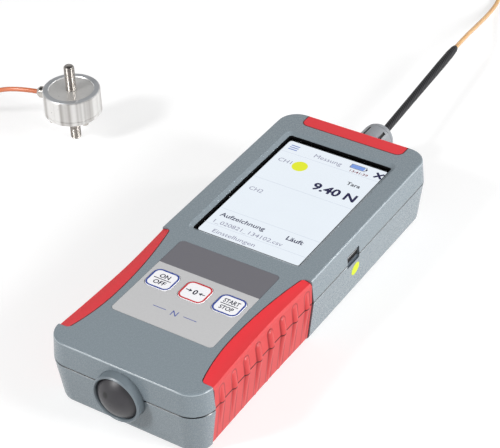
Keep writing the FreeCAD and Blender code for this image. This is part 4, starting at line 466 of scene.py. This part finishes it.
for number, lean in enumerate((1, -1)):
    cross = np.array([(-2.1, -1.5 * lean), (-1.3, -2.2 * lean), (2.1, 1.5 * lean),
                      (1.3, 2.2 * lean)])[::lean]
    plate(f"screen_cross_{number}", cross + (22.0, 67.6), SCREEN_INK + 0.003 * number, navy)
for number, y in enumerate((69.0, 67.6, 66.2)):
    plate(f"screen_menu_{number}", rounded_loop(-22.0, -17.6, y - 0.3, y + 0.3, 0.2, 3),
          SCREEN_INK, lit(f"panel_blue_{number}", "#6f86c8"))

# Keypad overlay: printed polyester film, grey with a dark header. The header stays bare, and
# the lower half has the unit's letter between two rules.
HEADER = -0.0297
film, tree, shader, place = surface("printed_polyester_film", 1600.0, 0.00001, "#bfbfc0",
                                    "#c8c8c9", 0.45)
along = node(tree, "SeparateXYZ", place, take="Y")
layered(tree, shader, "#6e6d73", node(tree, "Math", along, HEADER, operation="GREATER_THAN"))
wear(["keypad_overlay"], film)
FILM_PRINT = 31.06
film_blue = ink("film_blue_print", "#3c51a6")
words("keypad_unit", "N", (0.0, -53.2), 3.0, film_blue, FILM_PRINT)
for number, side in enumerate((-1, 1)):
    bar = np.array([(side * 4.0, -53.3), (side * 10.0, -53.3), (side * 10.0, -53.0),
                    (side * 4.0, -53.0)])[::side]
    plate(f"keypad_rule_{number}", bar, FILM_PRINT, film_blue)

# Keys: three white pads under the film's windows, each with a printed outline and its word or
# mark. They sink a little under a finger, so their print rides with them.
key_white = surface("white_key_plastic", 1600.0, 0.00001, "#f3f3f7", "#fbfbfd", 0.4)[0]
wear(["key_on_off", "key_zero", "key_start_stop"], key_white)
print_blue, print_red = ink("key_blue_print", "#3a4fa0"), ink("key_red_print", "#cf3038")
print_dark = ink("key_dark_print", "#1d2036")
KEY_ROW, KEY_PRINT = -38.85, 31.26
for body, x, colour in [("key_on_off", -15.5, print_blue), ("key_zero", 0.0, print_red),
                        ("key_start_stop", 15.5, print_blue)]:
    band(f"{body}_outline",
         rounded_loop(x - 5.85, x + 5.85, KEY_ROW - 5.35, KEY_ROW + 5.35, 2.85),
         rounded_loop(x - 5.1, x + 5.1, KEY_ROW - 4.6, KEY_ROW + 4.6, 2.1),
         KEY_PRINT, colour, body)
for body, x, lines in [("key_on_off", -15.5, [("upper", "ON", 4.6), ("lower", "OFF", 5.52)]),
                       ("key_start_stop", 15.5, [("upper", "START", 7.2),
                                                 ("lower", "STOP", 6.12)])]:
    for (line, text, width), y in zip(lines, (KEY_ROW + 2.0, KEY_ROW - 2.0)):
        words(f"{body}_{line}", text, (x, y), 2.3, print_dark, KEY_PRINT, body, width, 0.022)
    plate(f"{body}_rule", rounded_loop(x - 4.0, x + 4.0, KEY_ROW - 0.2, KEY_ROW + 0.2, 0.1, 2),
          KEY_PRINT, print_dark, body)
words("key_zero_digit", "0", (0.0, KEY_ROW), 2.8, print_dark, KEY_PRINT, "key_zero",
      weight=0.03)
for name, side in [("left", -1), ("right", 1)]:
    arrow = np.array([(4.4, -0.22), (4.4, 0.22), (2.7, 0.22), (2.9, 0.95), (1.5, 0.0),
                      (2.9, -0.95), (2.7, -0.22)]) * (side, 1)
    plate(f"key_zero_arrow_{name}", (arrow + (0.0, KEY_ROW))[::side], KEY_PRINT, print_dark,
          "key_zero")

# Blanking plug: a dome of glossy black ABS, moulded in one piece, that closes the front collar.
# A small spot off its centre is painted dark as the shade of a dimple, and its lower half is
# painted lighter as a painted reflection.
DIMPLE_SHADE = (-0.0028, -0.0958, 0.0215)
plug_black, tree, shader, place = surface("glossy_black_abs", 700.0, 0.00001, "#333236",
                                          "#3a383c", 0.42)
# Painted reflection: the lower half is lighter.
layered(tree, shader, "#716f70", rising(tree, place, "Z", 0.0200, 0.0110), 0.4)
# Painted shade: a small dark spot where a dimple would lie.
layered(tree, shader, "#0d0d0e",
        node(tree, "MapRange", from_box(tree, place, (0.0, 0.0, 0.0), DIMPLE_SHADE),
             From_Min=0.0017, From_Max=0.0009))
wear(["blanking_plug"], plug_black)

# Sensor socket, plug and coupling ring: glass-filled polyamide, moulded, in a light grey. The
# finger slots of the ring are painted black in their depth, as painted shade.
POLYAMIDE = (1500.0, 0.00003, "#8b9095", "#989ca1", 0.4)
PLUG_AXIS, SLOT_SHADE_RADIUS = (0.0, 0.0, 0.0165), 0.0071
polyamide = surface("grey_polyamide", *POLYAMIDE)[0]
wear(["sensor_socket", "plug_body"], polyamide)
slotted, tree, shader, place = surface("slotted_grey_polyamide", *POLYAMIDE)
from_axis = from_box(tree, place, (0.0, 1.0, 0.0), PLUG_AXIS)
layered(tree, shader, "#0c0c0d",
        node(tree, "Math", from_axis, SLOT_SHADE_RADIUS, operation="LESS_THAN"))
wear(["coupling_ring"], slotted)

# Cable sleeve: black polyolefin, shrunk over the cable, which shows the fine oblique ribs of its
# braid. Its film is dull, and the ribs are a little greyer.
sleeve_black, tree, shader, place = surface("black_shrink_sleeve", 1200.0, 0.00002, "#161618",
                                            "#202023", 0.5, Specular_IOR_Level=0.3)
turned = node(tree, "Mapping", place, Rotation=(0.0, 0.0, 0.6))
ribs = node(tree, "TexWave", turned, bands_direction="Y", Scale=260.0, take="Fac")
relief(tree, shader, ribs, 0.00015)
layered(tree, shader, "#2e2e32", ribs, 0.7)
wear(["cable_sleeve"], sleeve_black)

# Load cell: stainless steel 1.4542, turned. Fine rings run round its faces and wall, darker
# streaks of painted reflection run up its wall, and the rim is bluer than the membrane inside
# it.
CELL = (-134.8, 59.2)
turned_steel, tree, shader, place = surface(
    "turned_stainless", 900.0, 0.000005, "#e6e5e3", "#f3f2f0", 0.3, Metallic=0.72,
    Anisotropic=0.5)
centred = node(tree, "VectorMath", place, (CELL[0] * MM, CELL[1] * MM, 0.0),
               operation="SUBTRACT")
flat = node(tree, "Mapping", centred, Scale=(1.0, 1.0, 0.0))
radius = node(tree, "VectorMath", flat, operation="LENGTH", take="Value")
streak = node(tree, "TexNoise", flat, Scale=190.0, Detail=2.0, take="Fac")
# Painted reflection: darker streaks up the wall.
layered(tree, shader, "#96918d",
        node(tree, "MapRange", streak, From_Min=0.42, From_Max=0.62, To_Max=0.8),
        node(tree, "MapRange", radius, From_Min=0.0130, From_Max=0.0132))
layered(tree, shader, "#cdd0d4",
        node(tree, "MapRange", radius, From_Min=0.0104, From_Max=0.0105),
        rising(tree, place, "Z", 0.02665, 0.0267))
rings = node(tree, "TexWave", centred, wave_type="RINGS", rings_direction="Z", Scale=700.0,
             Distortion=0.4, take="Fac")
lines = node(tree, "TexWave", centred, bands_direction="Z", Scale=520.0, Distortion=0.4,
             take="Fac")
relief(tree, shader, node(tree, "Math", rings, lines, operation="ADD"), 0.00001, 0.6)
wear(["cell_body", "cell_base_plate"], turned_steel)


def metal(name, base, spread, roughness):
    """A bare or plated metal: the grain on a metallic shader."""
    return surface(name, 900.0, 0.000005, base, spread, roughness, Metallic=1.0)


# Studs: M5 threads with a pitch of 0.8 mm, rolled on stainless rods, chamfered at their tips.
stud_steel = metal("rolled_stainless", "#a8a39e", "#beb9b4", 0.25)[0]


def threaded_rod(name, foot, tip, bare, replaced):
    """A rod with a helical thread: its radius is 2.5 mm less the depth of a trapezium that
    winds 0.8 mm per turn, and less the chamfer near its tip. The length called bare, on the
    load cell's side, has the plain radius of 2.1 mm."""
    count, columns = int(abs(tip - foot) / 0.1) + 1, 40
    height = np.linspace(min(foot, tip), max(foot, tip), count)[:, None]
    angle = np.linspace(0, 2 * np.pi, columns, endpoint=False)[None, :]
    phase = (height / 0.8 - angle / (2 * np.pi)) % 1.0
    depth = 0.45 * np.clip((np.abs(2 * phase - 1) - 0.15) / 0.7, 0, 1)
    radius = np.minimum(2.5 - depth, 1.9 + np.abs(tip - height))
    radius = np.where(np.abs(height - foot) < bare, 2.1, radius)
    points = np.stack([CELL[0] + radius * np.cos(angle), CELL[1] + radius * np.sin(angle),
                       np.broadcast_to(height, radius.shape)], -1).reshape(-1, 3)
    row, column = np.meshgrid(np.arange(count - 1), np.arange(columns), indexing="ij")
    now, after = row * columns + column, row * columns + (column + 1) % columns
    wall = np.stack([now, after, after + columns, now + columns], -1).reshape(-1, 4)
    low, high = range(columns)[::-1], range((count - 1) * columns, count * columns)
    rod = mesh_piece(name, points, [*wall, low, high], stud_steel,
                     smooth=True)
    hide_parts(replaced)


threaded_rod("load_stud_thread", 21.55, 39.0, 4.92, "cell_top_stud")
threaded_rod("base_stud_thread", 16.4, 0.0, 2.02, "cell_base_stud")

# Small steel pieces of the load cell: base screws and the cable gland's nut. The strain gauge
# ring below the membrane is etched foil on polyimide.
bright = metal("bright_stainless", "#b9b4ae", "#cfcac4", 0.2)[0]
wear(["cell_screws", "cell_gland"], bright)
foil = surface("polyimide_foil", 1200.0, 0.00001, "#9c6426", "#b5772e", 0.4)[0]
wear(["cell_gauge_ring"], foil)

# Data port: a drawn shell of nickel-plated steel with a black moulding inside. Its upper wall is
# painted bright as a painted highlight, and the rest is painted dark as painted shade in the
# mouth. A black frame in the gap round it is painted shade.
nickel, tree, shader, place = metal("nickel_plate", "#242427", "#2e2e32", 0.3)
# Painted highlight on the upper wall over painted shade on the rest.
layered(tree, shader, "#d2d2d6", rising(tree, place, "Z", 0.02290, 0.02300))
wear(["data_port"], nickel)
port_black = ink("port_black_moulding_and_shade", "#0b0b0c", 0.6)


def upright(x, low_y, high_y, low_z, high_z):
    """The corners of an upright rectangle that faces the right side of the gauge."""
    return [(x, low_y, low_z), (x, high_y, low_z), (x, high_y, high_z), (x, low_y, high_z)]


mesh_piece("port_mouth", upright(35.05, 17.95, 25.05, 21.15, 22.95), [range(4)], port_black)
# Painted shade: a black frame fills the gap round the shell, where there is only shade.
shade_frame = upright(34.85, 16.75, 26.25, 20.35, 24.25) + upright(34.85, 17.6, 25.4, 20.8, 23.3)
mesh_piece("port_shade_frame", shade_frame, [(k, (k + 1) % 4, (k + 1) % 4 + 4, k + 4) for k in range(4)],
           port_black)

# Inspection mark: a round yellow paper sticker on the lower shell's wall, whose draft is 7.3
# degrees below the parting.
sticker = ink("yellow_paper", "#dfee3a", 0.7)
mark_y, mark_z = circle(24.4, 13.4, 3.05, 40).T
wall = 36.03 - (20.05 - mark_z) * math.tan(math.radians(7.3))
mesh_piece("inspection_mark", np.stack([wall, mark_y, mark_z], -1), [range(40)], sticker)

# Fasteners: zinc-plated case and board screws, the socket nut and turned brass inserts.
zinc = metal("zinc_plate", "#9fa0a3", "#b1b2b6", 0.32)[0]
wear(["case_screws", "board_screws", "socket_nut"], zinc)
brass = metal("turned_brass", "#b08d4c", "#c39d55", 0.3)[0]
wear(["stand_inserts"], brass)

# Electronics: green glass-epoxy board with copper tracks under its solder mask, the amplifier's
# tinned can, black switches and buzzer, and the wrapped battery.
board, tree, shader, place = surface("green_solder_mask", 400.0, 0.00002, "#1b5530", "#226339",
                                     0.4)
tracks = node(tree, "TexBrick", place, Scale=160.0, offset_frequency=3, squash_frequency=2,
              squash=0.6, take="Fac")
layered(tree, shader, "#3a8a58", tracks, 0.35)
wear(["main_board"], board)
can = metal("tinned_can", "#a9aaac", "#bcbdbf", 0.35)[0]
wear(["amplifier_shield"], can)
moulding = surface("black_pbt_moulding", 1500.0, 0.00002, "#151517", "#202023", 0.5)[0]
wear(["key_switches", "buzzer"], moulding)
wrap = surface("blue_shrink_wrap", 500.0, 0.00003, "#20407c", "#294c8d", 0.3)[0]
wear(["battery_pack"], wrap)
BOARD_UNDER = 22.4


def soldered(name, rows, finish):
    """Small parts under the main board in one mesh. Each row gives a part's place along x and
    y, its half sizes, its depth and how much it narrows towards its free face."""
    rows = np.array(rows)
    corner = np.array([(-1, -1), (1, -1), (1, 1), (-1, 1)])
    fixed = rows[:, None, :2] + corner * rows[:, None, 2:4]
    free = rows[:, None, :2] + corner * (rows[:, None, 2:4] - rows[:, None, 5:6])
    top = np.full((len(rows), 4, 1), BOARD_UNDER)
    points = np.concatenate([np.concatenate([fixed, top], -1),
                             np.concatenate([free, top - rows[:, None, 4:5]], -1)], 1)
    box = np.array([(0, 1, 2, 3), (7, 6, 5, 4), (0, 4, 5, 1), (1, 5, 6, 2), (2, 6, 7, 3),
                    (3, 7, 4, 0)])
    faces = (box[None] + 8 * np.arange(len(rows))[:, None, None]).reshape(-1, 4)
    return mesh_piece(name, points.reshape(-1, 3), faces, finish)


# Chips: moulded black packages with tinned legs on two or four sides of each.
chips = [(4.0, -20.0, 6.0, 6.0, 1.4, 0.35), (-9.0, -24.0, 2.5, 2.0, 1.3, 0.25),
         (-9.0, -16.0, 2.5, 2.0, 1.3, 0.25), (6.0, -38.0, 2.5, 2.0, 1.3, 0.25),
         (-2.0, -60.0, 3.2, 2.6, 1.3, 0.25)]
soldered("board_chips", chips, moulding)
LEG_PITCH = 0.65
legs = []
for x, y, half_x, half_y, depth, draft in chips:
    for shift in np.arange(LEG_PITCH / 2, half_x - 0.3, LEG_PITCH):
        legs += [(x + side * shift, y + end * (half_y + 0.35), 0.14, 0.55, 0.3, 0.04)
                 for side in (-1, 1) for end in (-1, 1)]
    for shift in np.arange(LEG_PITCH / 2, half_y - 0.3, LEG_PITCH) if half_x == half_y else []:
        legs += [(x + end * (half_x + 0.35), y + side * shift, 0.55, 0.14, 0.3, 0.04)
                 for side in (-1, 1) for end in (-1, 1)]
soldered("board_legs", legs, can)

# Crystal: a drawn steel can beside the controller.
soldered("board_crystal", [(4.0, -30.5, 5.2, 2.2, 3.2, 0.3)], zinc)

# Ceramic capacitors: small fired blocks with tinned ends, in rows beside the chips.
fired = ink("fired_ceramic", "#a98a64", 0.5)
blocks = [(x, y, 0.55, 0.6, 0.8, 0.08)
          for x in (-15.0, 13.5, 17.0) for y in (-32.0, -28.5, -25.0, -21.5, -18.0)]
soldered("board_capacitors", blocks, fired)
soldered("board_capacitor_ends", [(x + side * 0.8, y, 0.25, 0.63, 0.84, 0.08)
                                  for x, y, *_ in blocks for side in (-1, 1)],
         can)

# Floor: a pale matt table top. It keeps the object's soft shadow, and what the camera, gloss
# and glass see of it is lifted to white.
FLOOR_HALF, FLOOR_Z = 3.0, -0.0001
floor_mesh = bpy.data.meshes.new("floor")
floor_mesh.from_pydata([(FLOOR_HALF * x, FLOOR_HALF * y, FLOOR_Z)
                        for x, y in [(-1, -1), (1, -1), (1, 1), (-1, 1)]], [], [range(4)])
floor = bpy.data.objects.new("floor", floor_mesh)
bpy.context.scene.collection.objects.link(floor)
table_top, tree, shader = material("pale_table_top", Base_Color=(0.5, 0.5, 0.5, 1.0),
                                   Roughness=1.0, Specular_IOR_Level=0.0,
                                   Emission_Color=(1.0, 1.0, 1.0, 1.0))
seen = 0.0
for ray in ("Is Camera Ray", "Is Glossy Ray", "Is Transmission Ray"):
    seen = node(tree, "Math", seen, node(tree, "LightPath", take=ray), operation="MAXIMUM")
feed(shader, Emission_Strength=node(tree, "Math", seen, 0.6, operation="MULTIPLY"))
floor_mesh.materials.append(table_top)

# Light: a white room that is brighter round the horizon than overhead, so that upright walls
# are lighter than the top, with soft darker stripes for the metal to mirror. The camera sees
# plain white.
world = bpy.data.worlds.new("room")
bpy.context.scene.world = world
world.use_nodes = True
tree = world.node_tree
way = node(tree, "NewGeometry", take="Position")
height = node(tree, "SeparateXYZ", way, take="Z")
room = node(tree, "MapRange", height, To_Min=0.85, To_Max=0.0)
stripes = node(tree, "TexWave", way, bands_direction="DIAGONAL", Scale=1.1, take="Fac")
stripes = node(tree, "MapRange", stripes, To_Min=0.6, To_Max=1.35)
room = node(tree, "Math", room, stripes, operation="MULTIPLY")
camera_ray = node(tree, "LightPath", take="Is Camera Ray")
feed(tree.nodes["Background"], Color=(1.0, 1.0, 1.0, 1.0),
     Strength=node(tree, "Mix", Factor=camera_ray, A=room, B=1.0))

# Lamps: three round ones aimed at the origin. The key is wide and lights the right side, the
# fill lights the front from the left, and a weak one behind on the right draws the rear edges.
for name, stand, width, power in [
    ("key", (0.90, 0.05, 0.42), 0.35, 7.5),
    ("fill", (-0.44, -0.72, 0.64), 0.2, 6.0),
    ("back", (0.66, 0.66, 0.44), 0.2, 2.6),
]:
    lamp = bpy.data.lights.new(name, "AREA")
    lamp.shape = "DISK"
    lamp.size = width
    lamp.energy = power
    holder = bpy.data.objects.new(name, lamp)
    bpy.context.scene.collection.objects.link(holder)
    aim = (-Vector(stand)).to_track_quat("-Z", "Y")
    holder.matrix_world = Matrix.Translation(Vector(stand)) @ aim.to_matrix().to_4x4()
bpy.context.scene.view_settings.view_transform = "Standard"
